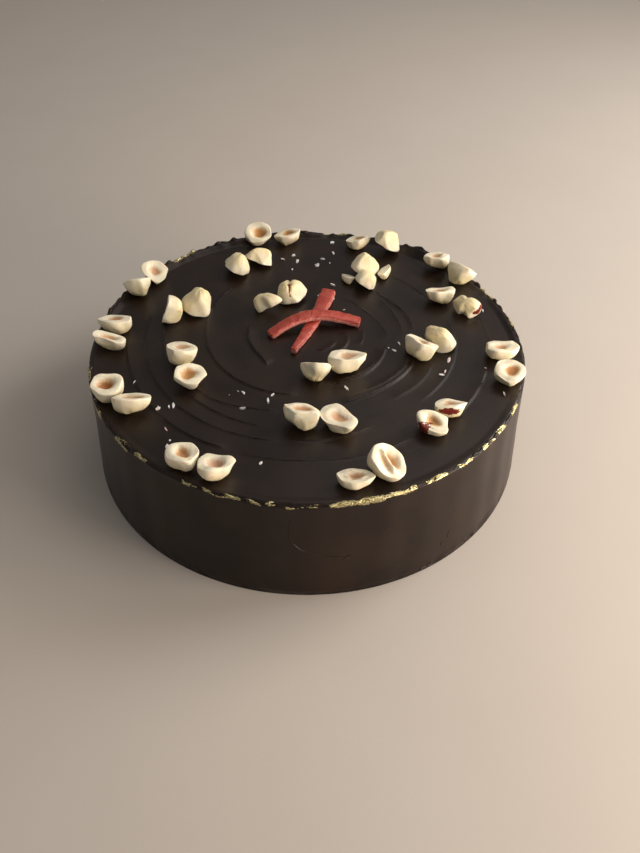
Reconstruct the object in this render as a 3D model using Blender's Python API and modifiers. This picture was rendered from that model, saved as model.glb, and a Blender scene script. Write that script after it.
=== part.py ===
"""Round chocolate torte with a spatula-swirled top, hazelnut halves and two crossed strips of candied peel.

Frame: metres, +Z up, origin at the centre of the flat base, -Y towards the side that is looked at.
Bearings are degrees anticlockwise from +X, seen from above.
"""

import math
import random
from typing import NamedTuple

import bmesh
import bpy
from mathutils import Matrix, Vector

MM = 0.001

# Driving dimensions of the cake
RIM_RADIUS = 100 * MM
BASE_RADIUS = 102.5 * MM
TOP_LEVEL = 53 * MM
TURN_STEPS = 84

# Spatula swirl: one spiral step, pulled off centre towards its eye
STEP_PITCH = 9.6 * MM
STEP_DEPTH = 1.1 * MM
STEP_LIP = 0.3
EYE_X, EYE_Y = 7 * MM, 5 * MM
TOP_RINGS = 25
SWIRL_EDGE = 91 * MM

# Bank of chocolate pushed up round the edge
BANK_FOOT = 94 * MM
BANK_CREST = 98.3 * MM
BANK_ROWS = (95.6 * MM, 97.2 * MM, BANK_CREST, 99.3 * MM)
BANK_RISE = 1.0 * MM
BANK_BACK_RISE = 1.5 * MM
EDGE_DROP = 0.5 * MM
SIDE_LEVELS = (49 * MM, 38 * MM, 25 * MM, 12 * MM, 4 * MM)

# Toppings
REST_GAP = 0.35 * MM
NUT_SEGMENTS, NUT_RINGS = 10, 6
NUT_TAPER = 0.2
FACE_DISH = 0.05
HOLLOW_LENGTH, HOLLOW_BREADTH = 0.5, 0.42
HOLLOW_DEPTH = 1.8 * MM
FLAKE_SEED = 11
FLAKE_SIZE = (1.9 * MM, 1.2 * MM, 0.9 * MM)
PEEL_SIDES = 8
PEEL_STATIONS = 13
PEEL_THICKNESS = 3.2 * MM


class Nut(NamedTuple):
    """One hazelnut half: where it lies, its size, and how its cut face is turned."""

    name: str
    bearing: float  # degrees, of its middle
    reach: float  # mm from the cake's axis
    length: float  # mm, tip to base
    breadth: float  # mm
    depth: float  # mm, cut face to the back of the dome
    tip: float  # degrees, the way the tip points
    lean: float  # degrees, cut face away from level; over 90 puts the dome on top
    lean_to: float  # degrees, the way the cut face is turned
    hollow: float = 1.0  # share of the full hollow
    broken: float = 0.0  # share of the length that is missing at the tip


NUTS = (
    Nut("nut_rim_01", 107.5, 94, 14.5, 13.0, 6.5, 5, 32, 265),
    Nut("nut_rim_02", 98, 91.5, 15.0, 10.5, 6.0, 15, 14, 150, 0.9),
    Nut("nut_rim_03", 73.5, 89.5, 14.0, 10.0, 5.5, 345, 20, 130, 0.7),
    Nut("nut_rim_04", 63.5, 91.5, 15.0, 12.5, 8.0, 190, 150, 200, 0.0),
    Nut("nut_rim_05", 45.5, 93.5, 14.0, 12.0, 6.5, 179, 18, 95, 0.5),
    Nut("nut_rim_06", 35.5, 95, 15.0, 13.0, 9.0, 300, 42, 50, 0.0),
    Nut("nut_rim_07", 355.5, 89.5, 16.0, 11.5, 6.0, 192, 8, 90, 0.5),
    Nut("nut_rim_08", 344.5, 93, 14.0, 12.5, 6.5, 355, 14, 265, 0.7),
    Nut("nut_rim_09", 291.5, 88.5, 16.5, 14.5, 8.0, 305, 24, 330, 1.25),
    Nut("nut_rim_10", 283, 91, 14.5, 9.0, 5.0, 0, 6, 95),
    Nut("nut_rim_11", 248, 90.5, 15.5, 12.0, 6.8, 4, 10, 95, 1.1),
    Nut("nut_rim_12", 238.5, 92, 13.5, 13.0, 7.0, 66, 6, 90),
    Nut("nut_rim_13", 212.5, 86.5, 17.0, 11.5, 7.0, 6, 26, 90),
    Nut("nut_rim_14", 204.5, 93.5, 14.7, 14.0, 7.8, 154, 4, 300, 1.3),
    Nut("nut_rim_15", 182, 91, 17.0, 9.5, 5.5, 165, 16, 50, 0.9),
    Nut("nut_rim_16", 174, 91.5, 16.5, 11.0, 6.5, 172, 14, 95, 0.6),
    Nut("nut_rim_17", 154.5, 94.5, 13.4, 12.0, 8.0, 196, 34, 110, 0.4),
    Nut("nut_rim_18", 146.5, 94, 13.2, 12.0, 6.0, 158, 32, 290, 0.4),
    Nut("nut_mid_01", 111.5, 74, 15.5, 10.5, 7.0, 165, 150, 230, 0.0),
    Nut("nut_mid_02", 122, 70.5, 14.5, 12.0, 8.5, 140, 150, 215, 0.0),
    Nut("nut_mid_03", 64.5, 66, 16.0, 13.0, 8.5, 5, 150, 200, 0.0, 0.08),
    Nut("nut_mid_04", 59.5, 56, 11.0, 11.0, 6.5, 285, 150, 200, 0.0, 0.08),
    Nut("nut_mid_05", 69.5, 56.5, 8.0, 5.0, 3.4, 140, 20, 60, 0.0),
    Nut("nut_mid_06", 57, 70.5, 12.5, 6.0, 4.0, 70, 30, 160, 0.0),
    Nut("nut_mid_07", 29.5, 74.5, 16.0, 10.5, 6.5, 188, 18, 95, 0.8),
    Nut("nut_mid_08", 19.5, 82, 14.5, 12.0, 7.0, 150, 146, 60, 0.0),
    Nut("nut_mid_09", 2, 62, 17.5, 11.5, 8.5, 122, 166, 30, 0.0),
    Nut("nut_mid_10", 354, 52.5, 17.5, 11.5, 8.0, 125, 30, 55, 0.8),
    Nut("nut_mid_11", 323, 77, 14.8, 9.5, 6.0, 6, 22, 95, 0.8),
    Nut("nut_mid_12", 312.5, 78, 15.5, 11.0, 6.0, 155, 10, 290, 0.7),
    Nut("nut_mid_13", 284, 57.5, 17.0, 11.5, 7.0, 325, 6, 250, 0.5),
    Nut("nut_mid_14", 268.5, 54, 16.0, 12.5, 8.5, 158, 24, 70, 0.5),
    Nut("nut_mid_15", 210.5, 58.5, 14.8, 12.0, 6.0, 185, 10, 320, 1.1),
    Nut("nut_mid_16", 193.5, 57.5, 14.2, 13.0, 8.5, 2, 20, 75, 0.5),
    Nut("nut_mid_17", 163.5, 67.5, 14.2, 13.0, 8.0, 99, 72, 180, 0.8),
    Nut("nut_mid_18", 154, 61, 14.5, 15.5, 10.5, 165, 164, 200, 0.0),
    Nut("nut_eye_01", 125.5, 34, 15.0, 9.0, 6.5, 346, 150, 0, 0.0),
    Nut("nut_eye_02", 102.5, 38.5, 15.5, 13.0, 8.5, 35, 168, 0, 0.0),
    Nut("nut_eye_03", 280, 24, 14.0, 11.0, 7.5, 150, 48, 85, 0.4),
    Nut("nut_eye_04", 315, 25.5, 18.0, 13.0, 8.0, 20, 18, 85),
)


class Cluster(NamedTuple):
    """A few white flakes scattered round one place."""

    bearing: float  # degrees
    reach: float  # mm
    count: int
    spread: float  # mm


CLUSTERS = (
    Cluster(96, 77, 4, 8),
    Cluster(85, 73, 3, 5),
    Cluster(80, 85, 2, 7),
    Cluster(73, 46, 3, 8),
    Cluster(32, 88, 2, 6),
    Cluster(19, 90, 1, 2),
    Cluster(359, 39, 2, 4),
    Cluster(347, 68, 3, 7),
    Cluster(339, 93, 1, 1),
    Cluster(299, 35, 1, 1),
    Cluster(258, 78, 1, 2),
    Cluster(243, 46, 4, 7),
    Cluster(229, 84, 2, 6),
    Cluster(217, 75, 3, 4),
    Cluster(201, 81, 1, 1),
)


class Peel(NamedTuple):
    """A strip of candied peel, as its two ends, its sideways bow, and its height over the chocolate."""

    name: str
    start: tuple  # mm, x and y
    end: tuple  # mm, x and y
    bow: float  # mm, to the left of the way from start to end
    arch: float  # mm, lift at the crossing
    arch_at: float  # share of the length
    curl: float  # mm, lift of the far end
    breadths: tuple  # mm, at start, middle and end


PEELS = (
    Peel("peel_under", (-6.5, -7), (10, 40.5), -1.0, 0.0, 0.5, 1.2, (3.0, 5.8, 7.2)),
    Peel("peel_over", (-18, 5.5), (25, 16.5), 5.5, 4.2, 0.45, 0.0, (5.2, 6.0, 6.0)),
)


def polar(bearing, reach_mm):
    """The point at this bearing in degrees and distance in millimetres from the cake's axis."""
    angle = math.radians(bearing)
    return Vector((reach_mm * MM * math.cos(angle), reach_mm * MM * math.sin(angle), 0))


def smooth_step(low, high, value):
    """0 below low, 1 above high, and an S curve between."""
    t = min(1.0, max(0.0, (value - low) / (high - low)))
    return t * t * (3 - 2 * t)


def swirl_height(x, y):
    """Height of the spatula's spiral steps: a slow rise across each turn, then a short drop at its lip."""
    reach = math.hypot(x, y)
    lean = max(0.0, 1 - reach / SWIRL_EDGE)
    dx, dy = x - EYE_X * lean, y - EYE_Y * lean
    around = math.atan2(dy, dx)
    wobble = 1.1 * MM * math.sin(2 * around + 0.6) + 0.7 * MM * math.sin(3 * around + 2.1 + 40 * reach)
    turns = (math.hypot(dx, dy) + wobble) / STEP_PITCH - around / math.tau
    share = turns - math.floor(turns)
    rise = smooth_step(0, 1 - STEP_LIP, share) - smooth_step(1 - STEP_LIP, 1, share)
    patchy = 0.72 + 0.28 * math.sin(1.7 * around - 60 * reach + 1.0)
    fade = 1 - smooth_step(SWIRL_EDGE - 10 * MM, SWIRL_EDGE, reach)
    return STEP_DEPTH * (rise - 0.5) * patchy * fade


def bank_rise(around):
    """Height of the edge bank over the top: low and even in front, higher and lumpy at the back."""
    back = 0.5 + 0.5 * math.sin(around)
    lumps = 0.55 * math.sin(7 * around + 1.2) + 0.35 * math.sin(12 * around + 0.4) + 0.2 * math.sin(19 * around)
    bump = 2.2 * MM * math.exp(-(((math.degrees(around) - 53) / 7) ** 2))
    return BANK_RISE * (1 + 0.3 * lumps) + back * BANK_BACK_RISE * (1 + 0.6 * lumps) + bump


def top_height(x, y):
    """Height of the chocolate's top anywhere inside the rim."""
    reach = math.hypot(x, y)
    rise = bank_rise(math.atan2(y, x))
    bank = rise * smooth_step(BANK_FOOT, BANK_CREST, reach)
    drop = EDGE_DROP * smooth_step(BANK_CREST, RIM_RADIUS, reach)
    return TOP_LEVEL + swirl_height(x, y) + bank - drop


def side_radius(level):
    """Radius of the side at this level: nearly straight, flaring a little to the base."""
    return RIM_RADIUS + (BASE_RADIUS - RIM_RADIUS) * (1 - level / TOP_LEVEL) ** 1.4


def material(name, colour, roughness):
    """A Principled BSDF material of one colour, given as linear red, green and blue."""
    made = bpy.data.materials.new(name)
    made.use_nodes = True
    shader = made.node_tree.nodes["Principled BSDF"]
    shader.inputs["Base Color"].default_value = (*colour, 1.0)
    shader.inputs["Roughness"].default_value = roughness
    shader.inputs["Metallic"].default_value = 0.0
    return made


def add_object(name, mesh, finish, collection):
    """A named object for this mesh, in the collection, with its finish."""
    made = bpy.data.objects.new(name, mesh)
    mesh.materials.append(finish)
    collection.objects.link(made)
    return made


def applied_mesh(source, name):
    """A new mesh from the object as its modifiers leave it. The object is then removed."""
    graph = bpy.context.evaluated_depsgraph_get()
    mesh = bpy.data.meshes.new_from_object(source.evaluated_get(graph))
    mesh.name = name
    bpy.data.objects.remove(source)
    return mesh


def turned_cake_mesh(collection):
    """The cake as a turned profile, whose top is then given the swirl and the bank."""
    rings = [BANK_FOOT * ring / TOP_RINGS for ring in range(TOP_RINGS + 1)]
    profile = [(reach, TOP_LEVEL) for reach in (*rings, *BANK_ROWS, RIM_RADIUS)]
    profile += [(side_radius(level), level) for level in SIDE_LEVELS]
    profile += [(BASE_RADIUS, 0.0), (BASE_RADIUS / 2, 0.0), (0.0, 0.0)]
    mesh = bpy.data.meshes.new("cake_profile")
    points = [(reach, 0.0, level) for reach, level in profile]
    mesh.from_pydata(points, [(i, i + 1) for i in range(len(points) - 1)], [])
    lathe = bpy.data.objects.new("cake_lathe", mesh)
    collection.objects.link(lathe)
    screw = lathe.modifiers.new("turn", "SCREW")
    screw.steps = screw.render_steps = TURN_STEPS
    screw.use_merge_vertices = True
    screw.merge_threshold = 0.00005
    turned = applied_mesh(lathe, "cake")
    for vertex in turned.vertices:
        if vertex.co.z > TOP_LEVEL - 0.1 * MM:
            vertex.co.z = top_height(vertex.co.x, vertex.co.y)
    return turned


def nut_basis(nut):
    """Rotation from the nut's own axes, tip along +X and cut face up, to the way it lies."""
    lean, to, tip = (math.radians(angle) for angle in (nut.lean, nut.lean_to, nut.tip))
    up = Vector((math.sin(lean) * math.cos(to), math.sin(lean) * math.sin(to), math.cos(lean)))
    along = Vector((math.cos(tip), math.sin(tip), 0))
    along = (along - up * along.dot(up)).normalized()
    return Matrix((along, up.cross(along), up)).transposed().to_4x4()


def nut_mesh(nut):
    """Half a hazelnut: a tapered ball cut flat through its axis, with a hollow in the cut face."""
    shape = bmesh.new()
    bmesh.ops.create_uvsphere(shape, u_segments=NUT_SEGMENTS, v_segments=NUT_RINGS, radius=1)
    bmesh.ops.rotate(shape, verts=shape.verts, matrix=Matrix.Rotation(math.pi / 2, 3, "Y"))
    bmesh.ops.bisect_plane(
        shape, geom=[*shape.verts, *shape.edges, *shape.faces], plane_co=(0, 0, 0), plane_no=(0, 0, 1), clear_outer=True
    )
    rim = [edge for edge in shape.edges if edge.is_boundary]
    face = bmesh.ops.contextual_create(shape, geom=rim)["faces"][0]
    bmesh.ops.recalc_face_normals(shape, faces=shape.faces)
    half_length, half_breadth, depth = nut.length / 2 * MM, nut.breadth / 2 * MM, nut.depth * MM
    if nut.hollow:
        add_hollow(shape, face, HOLLOW_DEPTH * nut.hollow / depth)
    for vertex in shape.verts:
        taper = 1 - NUT_TAPER * vertex.co.x
        vertex.co = Vector(
            (
                vertex.co.x * half_length,
                vertex.co.y * half_breadth * taper,
                vertex.co.z * depth * taper,
            )
        )
    if nut.broken:
        break_tip(shape, half_length * (1 - 2 * nut.broken))
    bmesh.ops.transform(shape, matrix=nut_basis(nut), verts=shape.verts)
    bmesh.ops.triangulate(shape, faces=shape.faces)
    mesh = bpy.data.meshes.new(nut.name)
    shape.to_mesh(mesh)
    shape.free()
    return mesh


def add_hollow(shape, face, depth):
    """A slightly dished ring and a sunk floor in the cut face, on the unit ball."""
    bmesh.ops.inset_region(shape, faces=[face], thickness=0.18, use_even_offset=False)
    for vertex in face.verts:
        vertex.co.z = -FACE_DISH
    bmesh.ops.inset_region(shape, faces=[face], thickness=0.12, use_even_offset=False)
    reach = max(abs(vertex.co.x) for vertex in face.verts), max(abs(vertex.co.y) for vertex in face.verts)
    for vertex in face.verts:
        vertex.co.x *= HOLLOW_LENGTH / reach[0]
        vertex.co.y *= HOLLOW_BREADTH / reach[1]
        vertex.co.z = -depth


def break_tip(shape, cut_at):
    """Snaps off what lies past this place on the nut's own axis, with a slanted break."""
    bmesh.ops.bisect_plane(
        shape,
        geom=[*shape.verts, *shape.edges, *shape.faces],
        plane_co=(cut_at, 0, 0),
        plane_no=(1, 0.35, 0.25),
        clear_outer=True,
    )
    bmesh.ops.contextual_create(shape, geom=[edge for edge in shape.edges if edge.is_boundary])
    bmesh.ops.recalc_face_normals(shape, faces=shape.faces)


def rest_on_chocolate(mesh):
    """Lifts or lowers a mesh so that its nearest point stands just clear of the chocolate."""
    clear = min(point.co.z - top_height(point.co.x, point.co.y) for point in mesh.vertices)
    mesh.transform(Matrix.Translation((0, 0, REST_GAP - clear)))


def add_nut(nut, finish, collection):
    """One hazelnut half, resting on the chocolate at its place."""
    mesh = nut_mesh(nut)
    corners = [Vector(point.co) for point in mesh.vertices]
    middle = Vector(
        [(min(c[axis] for c in corners) + max(c[axis] for c in corners)) / 2 for axis in range(2)] + [0]
    )
    mesh.transform(Matrix.Translation(polar(nut.bearing, nut.reach) - middle))
    rest_on_chocolate(mesh)
    return add_object(nut.name, mesh, finish, collection)


def peel_breadth(peel, share):
    """Breadth along the strip: a smooth run through its three stated breadths."""
    first, middle, last = peel.breadths
    if share < 0.5:
        return first + (middle - first) * smooth_step(0, 0.5, share)
    return middle + (last - middle) * smooth_step(0.5, 1, share)


def peel_point(peel, share):
    """Centre of the strip's underside at this share of its length."""
    start, end = Vector(peel.start), Vector(peel.end)
    line = end - start
    left = Vector((-line.y, line.x)).normalized()
    flat = start + line * share + left * peel.bow * math.sin(math.pi * share)
    x, y = flat * MM
    span = (1 - peel.arch_at) if share > peel.arch_at else peel.arch_at
    lift = peel.arch * math.cos(math.pi / 2 * (share - peel.arch_at) / span) if peel.arch else 0.0
    lift += peel.curl * share**3
    return Vector((x, y, TOP_LEVEL + lift * MM))


def add_peel(peel, finish, collection):
    """A strip of peel, lofted through rounded sections whose breadth changes along it."""
    shape = bmesh.new()
    sections = []
    for station in range(PEEL_STATIONS):
        share = station / (PEEL_STATIONS - 1)
        ahead = peel_point(peel, min(1.0, share + 0.01)) - peel_point(peel, max(0.0, share - 0.01))
        side = Vector((-ahead.y, ahead.x, 0)).normalized()
        centre = peel_point(peel, share) + Vector((0, 0, PEEL_THICKNESS / 2))
        half = peel_breadth(peel, share) / 2 * MM
        section = []
        for corner in range(PEEL_SIDES):
            turn = math.tau * (corner + 0.5) / PEEL_SIDES
            across = half * math.copysign(abs(math.cos(turn)) ** 0.6, math.cos(turn))
            up = PEEL_THICKNESS / 2 * math.copysign(abs(math.sin(turn)) ** 0.6, math.sin(turn))
            section.append(shape.verts.new(centre + side * across + Vector((0, 0, up))))
        sections.append(section)
    for near, far in zip(sections, sections[1:]):
        for corner in range(PEEL_SIDES):
            after = (corner + 1) % PEEL_SIDES
            shape.faces.new((near[corner], near[after], far[after], far[corner]))
    shape.faces.new(sections[0])
    shape.faces.new(sections[-1])
    bmesh.ops.recalc_face_normals(shape, faces=shape.faces)
    bmesh.ops.triangulate(shape, faces=shape.faces)
    mesh = bpy.data.meshes.new(peel.name)
    shape.to_mesh(mesh)
    shape.free()
    rest_on_chocolate(mesh)
    return add_object(peel.name, mesh, finish, collection)


def clear_of_toppings(place):
    """True where a flake stands clear of every nut and both strips of peel."""
    margin = 2.2 * MM
    for nut in NUTS:
        if (place - polar(nut.bearing, nut.reach)).length < nut.length / 2 * MM + margin:
            return False
    for peel in PEELS:
        for station in range(PEEL_STATIONS):
            point = peel_point(peel, station / (PEEL_STATIONS - 1))
            if (place - Vector((point.x, point.y, 0))).length < 4 * MM + margin:
                return False
    return True


def flake_places():
    """Places of the white flakes: each cluster's draws, without those that a topping covers."""
    draw = random.Random(FLAKE_SEED)
    for cluster in CLUSTERS:
        for _ in range(cluster.count):
            shift = Vector((draw.uniform(-1, 1), draw.uniform(-1, 1), 0)) * cluster.spread * MM
            turn, tilt, size = draw.uniform(0, math.pi), draw.uniform(-0.3, 0.3), draw.uniform(0.7, 1.25)
            place = polar(cluster.bearing, cluster.reach) + shift
            if place.length < 97 * MM and clear_of_toppings(place):
                yield place, turn, tilt, size


def add_flakes(collection):
    """Small slabs half sunk in the chocolate, one object each, for the union with the cake."""
    for place, turn, tilt, size in flake_places():
        shape = bmesh.new()
        bmesh.ops.create_cube(shape, size=1)
        bmesh.ops.scale(shape, vec=Vector(FLAKE_SIZE) * size, verts=shape.verts)
        bmesh.ops.rotate(shape, verts=shape.verts, matrix=Matrix.Rotation(tilt, 3, "Y"))
        bmesh.ops.rotate(shape, verts=shape.verts, matrix=Matrix.Rotation(turn, 3, "Z"))
        place.z = top_height(place.x, place.y)
        bmesh.ops.translate(shape, vec=place, verts=shape.verts)
        mesh = bpy.data.meshes.new("flake")
        shape.to_mesh(mesh)
        shape.free()
        collection.objects.link(bpy.data.objects.new("flake", mesh))


def add_cake(finish, collection, scatter):
    """The iced cake with its white flakes fused on by one union."""
    cake = add_object("cake", turned_cake_mesh(collection), finish, collection)
    add_flakes(scatter)
    union = cake.modifiers.new("flakes", "BOOLEAN")
    union.operation = "UNION"
    union.operand_type = "COLLECTION"
    union.collection = scatter
    union.solver = "MANIFOLD"
    fused = applied_mesh(cake, "cake")
    for flake in list(scatter.objects):
        bpy.data.objects.remove(flake)
    fused.shade_smooth()
    made = bpy.data.objects.new("cake", fused)
    collection.objects.link(made)
    return made


def main():
    """Builds the cake and its toppings in one collection."""
    for old in list(bpy.data.objects):
        bpy.data.objects.remove(old)
    torte = bpy.data.collections.new("chocolate_torte")
    scatter = bpy.data.collections.new("flakes_to_fuse")
    for group in (torte, scatter):
        bpy.context.scene.collection.children.link(group)
    chocolate = material("dark_chocolate_icing", (0.030, 0.018, 0.013), 0.4)
    kernel = material("blanched_hazelnut", (0.80, 0.66, 0.42), 0.55)
    candied = material("candied_peel", (0.55, 0.06, 0.04), 0.35)
    add_cake(chocolate, torte, scatter)
    for nut in NUTS:
        add_nut(nut, kernel, torte)
    for peel in PEELS:
        add_peel(peel, candied, torte)
    bpy.data.collections.remove(scatter)


main()
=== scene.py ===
"""Looks of a round chocolate torte: swirled icing, hazelnut halves, candied peel, white flakes and gold.

Frame: metres, +Z up, origin at the centre of the flat base, -Y towards the camera.
Bearings are degrees anticlockwise from +X, seen from above. Rings of points run the same way.
"""

from __future__ import annotations

import logging
import math
import random
from dataclasses import dataclass
from enum import Enum
from functools import partial
from typing import Any, Callable, Iterable, Iterator

import bpy
import numpy as np
from mathutils import Matrix, Vector

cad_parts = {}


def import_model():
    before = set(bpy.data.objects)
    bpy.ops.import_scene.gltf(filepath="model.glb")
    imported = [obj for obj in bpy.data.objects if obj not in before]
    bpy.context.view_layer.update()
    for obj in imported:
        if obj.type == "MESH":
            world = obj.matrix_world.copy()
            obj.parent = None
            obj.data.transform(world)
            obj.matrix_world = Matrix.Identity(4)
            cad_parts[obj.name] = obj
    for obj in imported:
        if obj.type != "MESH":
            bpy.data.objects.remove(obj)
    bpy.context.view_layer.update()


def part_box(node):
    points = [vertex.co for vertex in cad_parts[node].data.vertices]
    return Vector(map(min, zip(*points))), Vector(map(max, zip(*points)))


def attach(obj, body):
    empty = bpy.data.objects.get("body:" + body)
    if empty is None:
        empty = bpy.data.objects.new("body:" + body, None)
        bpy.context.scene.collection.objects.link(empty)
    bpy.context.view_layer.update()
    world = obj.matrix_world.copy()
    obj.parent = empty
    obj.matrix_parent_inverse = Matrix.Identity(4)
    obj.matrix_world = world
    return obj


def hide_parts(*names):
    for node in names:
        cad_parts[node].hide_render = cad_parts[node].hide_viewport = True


MM = 0.001
NOISE_ROUGHNESS = 0.55
LOG = logging.getLogger("torte")
Array = np.ndarray
Part = tuple[Array, Array]  # points, and the vertex numbers of the triangles
Mesh = bpy.types.Mesh
Material = bpy.types.Material
Socket = bpy.types.NodeSocket
Adder = Callable[..., Socket]
Pattern = tuple[dict[str, Socket], list[tuple[Socket, float]]]


def linear(code: str) -> tuple[float, float, float, float]:
    """Turns an sRGB hex colour into linear red, green, blue and alpha.

    Args:
        code: Colour such as "#2b1d18".

    Returns:
        The linear colour with alpha 1.
    """
    parts = [int(code[place : place + 2], 16) / 255 for place in (1, 3, 5)]
    return (*(part / 12.92 if part <= 0.04045 else ((part + 0.055) / 1.055) ** 2.4 for part in parts), 1.0)


def smooth_step(low: float, high: float, value: Array) -> Array:
    """Gives 0 below low, 1 above high, and 3 t squared minus 2 t cubed between."""
    share = np.clip((value - low) / (high - low), 0.0, 1.0)
    return share * share * (3 - 2 * share)


def bell(value: Array, middle: float, width: float) -> Array:
    """Gives e to the minus square of the distance from the middle in widths."""
    return np.exp(-(((value - middle) / width) ** 2))


def ripple(turn: Array, cycles: tuple[int, ...], seed: int) -> Array:
    """Sums one sine wave for each number of cycles in a whole turn, each with its own drawn phase.

    Args:
        turn: Angles in radians.
        cycles: Waves in a whole turn; a wave's height is one over the root of how many waves there are.
        seed: Seed of the phases.

    Returns:
        A value of about -1 to 1 for each angle.
    """
    draw = random.Random(seed)
    waves = [np.sin(count * turn + draw.uniform(0, math.tau)) for count in cycles]
    return sum(waves) / math.sqrt(len(cycles))


def plateau(value: Array, first: float, last: float, fade: float) -> Array:
    """Gives 1 between first and last, dying out smoothly to 0 at both, over the fade inside them."""
    return smooth_step(first, first + fade, value) * (1 - smooth_step(last - fade, last, value))


def whole_turn(count: int) -> Array:
    """This many angles in radians, evenly round a circle from 0."""
    return np.linspace(0, math.tau, count, endpoint=False)


def outward(turn: Array) -> Array:
    """Rows of x and y of the unit vectors at these angles in radians."""
    return np.column_stack([np.cos(turn), np.sin(turn)])


def unit(rows: Array) -> Array:
    """These vectors, one in a row, brought to length 1."""
    return rows / np.linalg.norm(rows, axis=1)[:, None]


def polar(bearing: float, reach: float) -> Array:
    """The point at this bearing in degrees and this distance in metres from the axis."""
    return np.array([math.cos(math.radians(bearing)), math.sin(math.radians(bearing))]) * reach


class Step(Enum):
    """Steps that a finish's pattern is made of: Blender's node and the choices that are set on it."""

    PLACE = ("TexCoord", {})
    MARK = ("Attribute", {})
    NOISE = ("TexNoise", {})
    CELLS = ("TexVoronoi", {})
    WINDOW = ("MapRange", {"interpolation_type": "SMOOTHSTEP"})
    BLEND = ("Mix", {"data_type": "RGBA"})
    PLUS = ("Math", {"operation": "ADD"})
    LESS = ("Math", {"operation": "SUBTRACT"})
    TIMES = ("Math", {"operation": "MULTIPLY"})
    BUMP = ("Bump", {})


def add_node(tree: bpy.types.NodeTree, step: Step, *feeds: Any, out: str = "", **settings: Any) -> Socket:
    """Adds one shader node with its settings and links.

    Args:
        tree: Node tree that gets the node.
        step: What the node does.
        feeds: What the inputs in use get, in turn: a socket to link, a number, or a hex colour.
        out: Name of the output to give back; the first one in use where it is empty.
        settings: Inputs by name that get a value or a socket, or else properties of the node.

    Returns:
        The output socket.
    """
    kind, choices = step.value
    node = tree.nodes.new("ShaderNode" + kind)
    for name, choice in choices.items():
        setattr(node, name, choice)
    given = list(zip([socket for socket in node.inputs if socket.enabled], feeds))
    for name, value in settings.items():
        if name in node.inputs:
            given.append((node.inputs[name], value))
        else:
            setattr(node, name, value)
    for socket, value in given:
        if isinstance(value, Socket):
            tree.links.new(value, socket)
        elif value is not None:
            socket.default_value = linear(value) if isinstance(value, str) else value
    return node.outputs[out] if out else next(socket for socket in node.outputs if socket.enabled)


def lumps(add: Adder, across_mm: float, detail: float = 3.0) -> Socket:
    """Noise from 0 to 1 about 0.5, whose lumps are about this many millimetres across."""
    return add(Step.NOISE, add(Step.PLACE, out="Object"), 1 / (across_mm * MM), detail, NOISE_ROUGHNESS)


@dataclass(frozen=True)
class Finish:
    """One material: its name and the shader's plain values. Subclasses add the patterns."""

    name: str
    roughness: float = 0.5
    ior: float = 1.5
    glow: float = 0.0  # share of the light that comes out again beside where it went in
    glow_reach: tuple[float, float, float] = (1.0, 0.2, 0.1)  # how far its red, green and blue go
    glow_mm: float = 1.0

    def pattern(self, add: Adder) -> Pattern:
        """Adds this finish's patterns.

        Args:
            add: Adds a node to the material.

        Returns:
            Sockets by the shader's input that they feed, and heights with their depths in mm, coarse to fine.
        """
        raise NotImplementedError

    def make(self) -> Material:
        """Builds the material: its plain values, its patterns, and one bump for each height.

        Returns:
            The finished material.
        """
        made = bpy.data.materials.new(self.name)
        made.use_nodes = True
        tree = made.node_tree
        inputs = tree.nodes["Principled BSDF"].inputs
        values: dict[str, Any] = {"Roughness": self.roughness, "IOR": self.ior}
        if self.glow:
            values["Subsurface Weight"] = self.glow
            values["Subsurface Radius"] = self.glow_reach
            values["Subsurface Scale"] = self.glow_mm * MM
        for name, value in values.items():
            inputs[name].default_value = value
        feeds, heights = self.pattern(partial(add_node, tree))
        for height, depth_mm in heights:
            before = feeds.get("Normal")
            feeds["Normal"] = add_node(
                tree, Step.BUMP, Strength=1.0, Distance=depth_mm * MM, Height=height, Normal=before
            )
        for name, socket in feeds.items():
            tree.links.new(socket, inputs[name])
        return made


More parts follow.
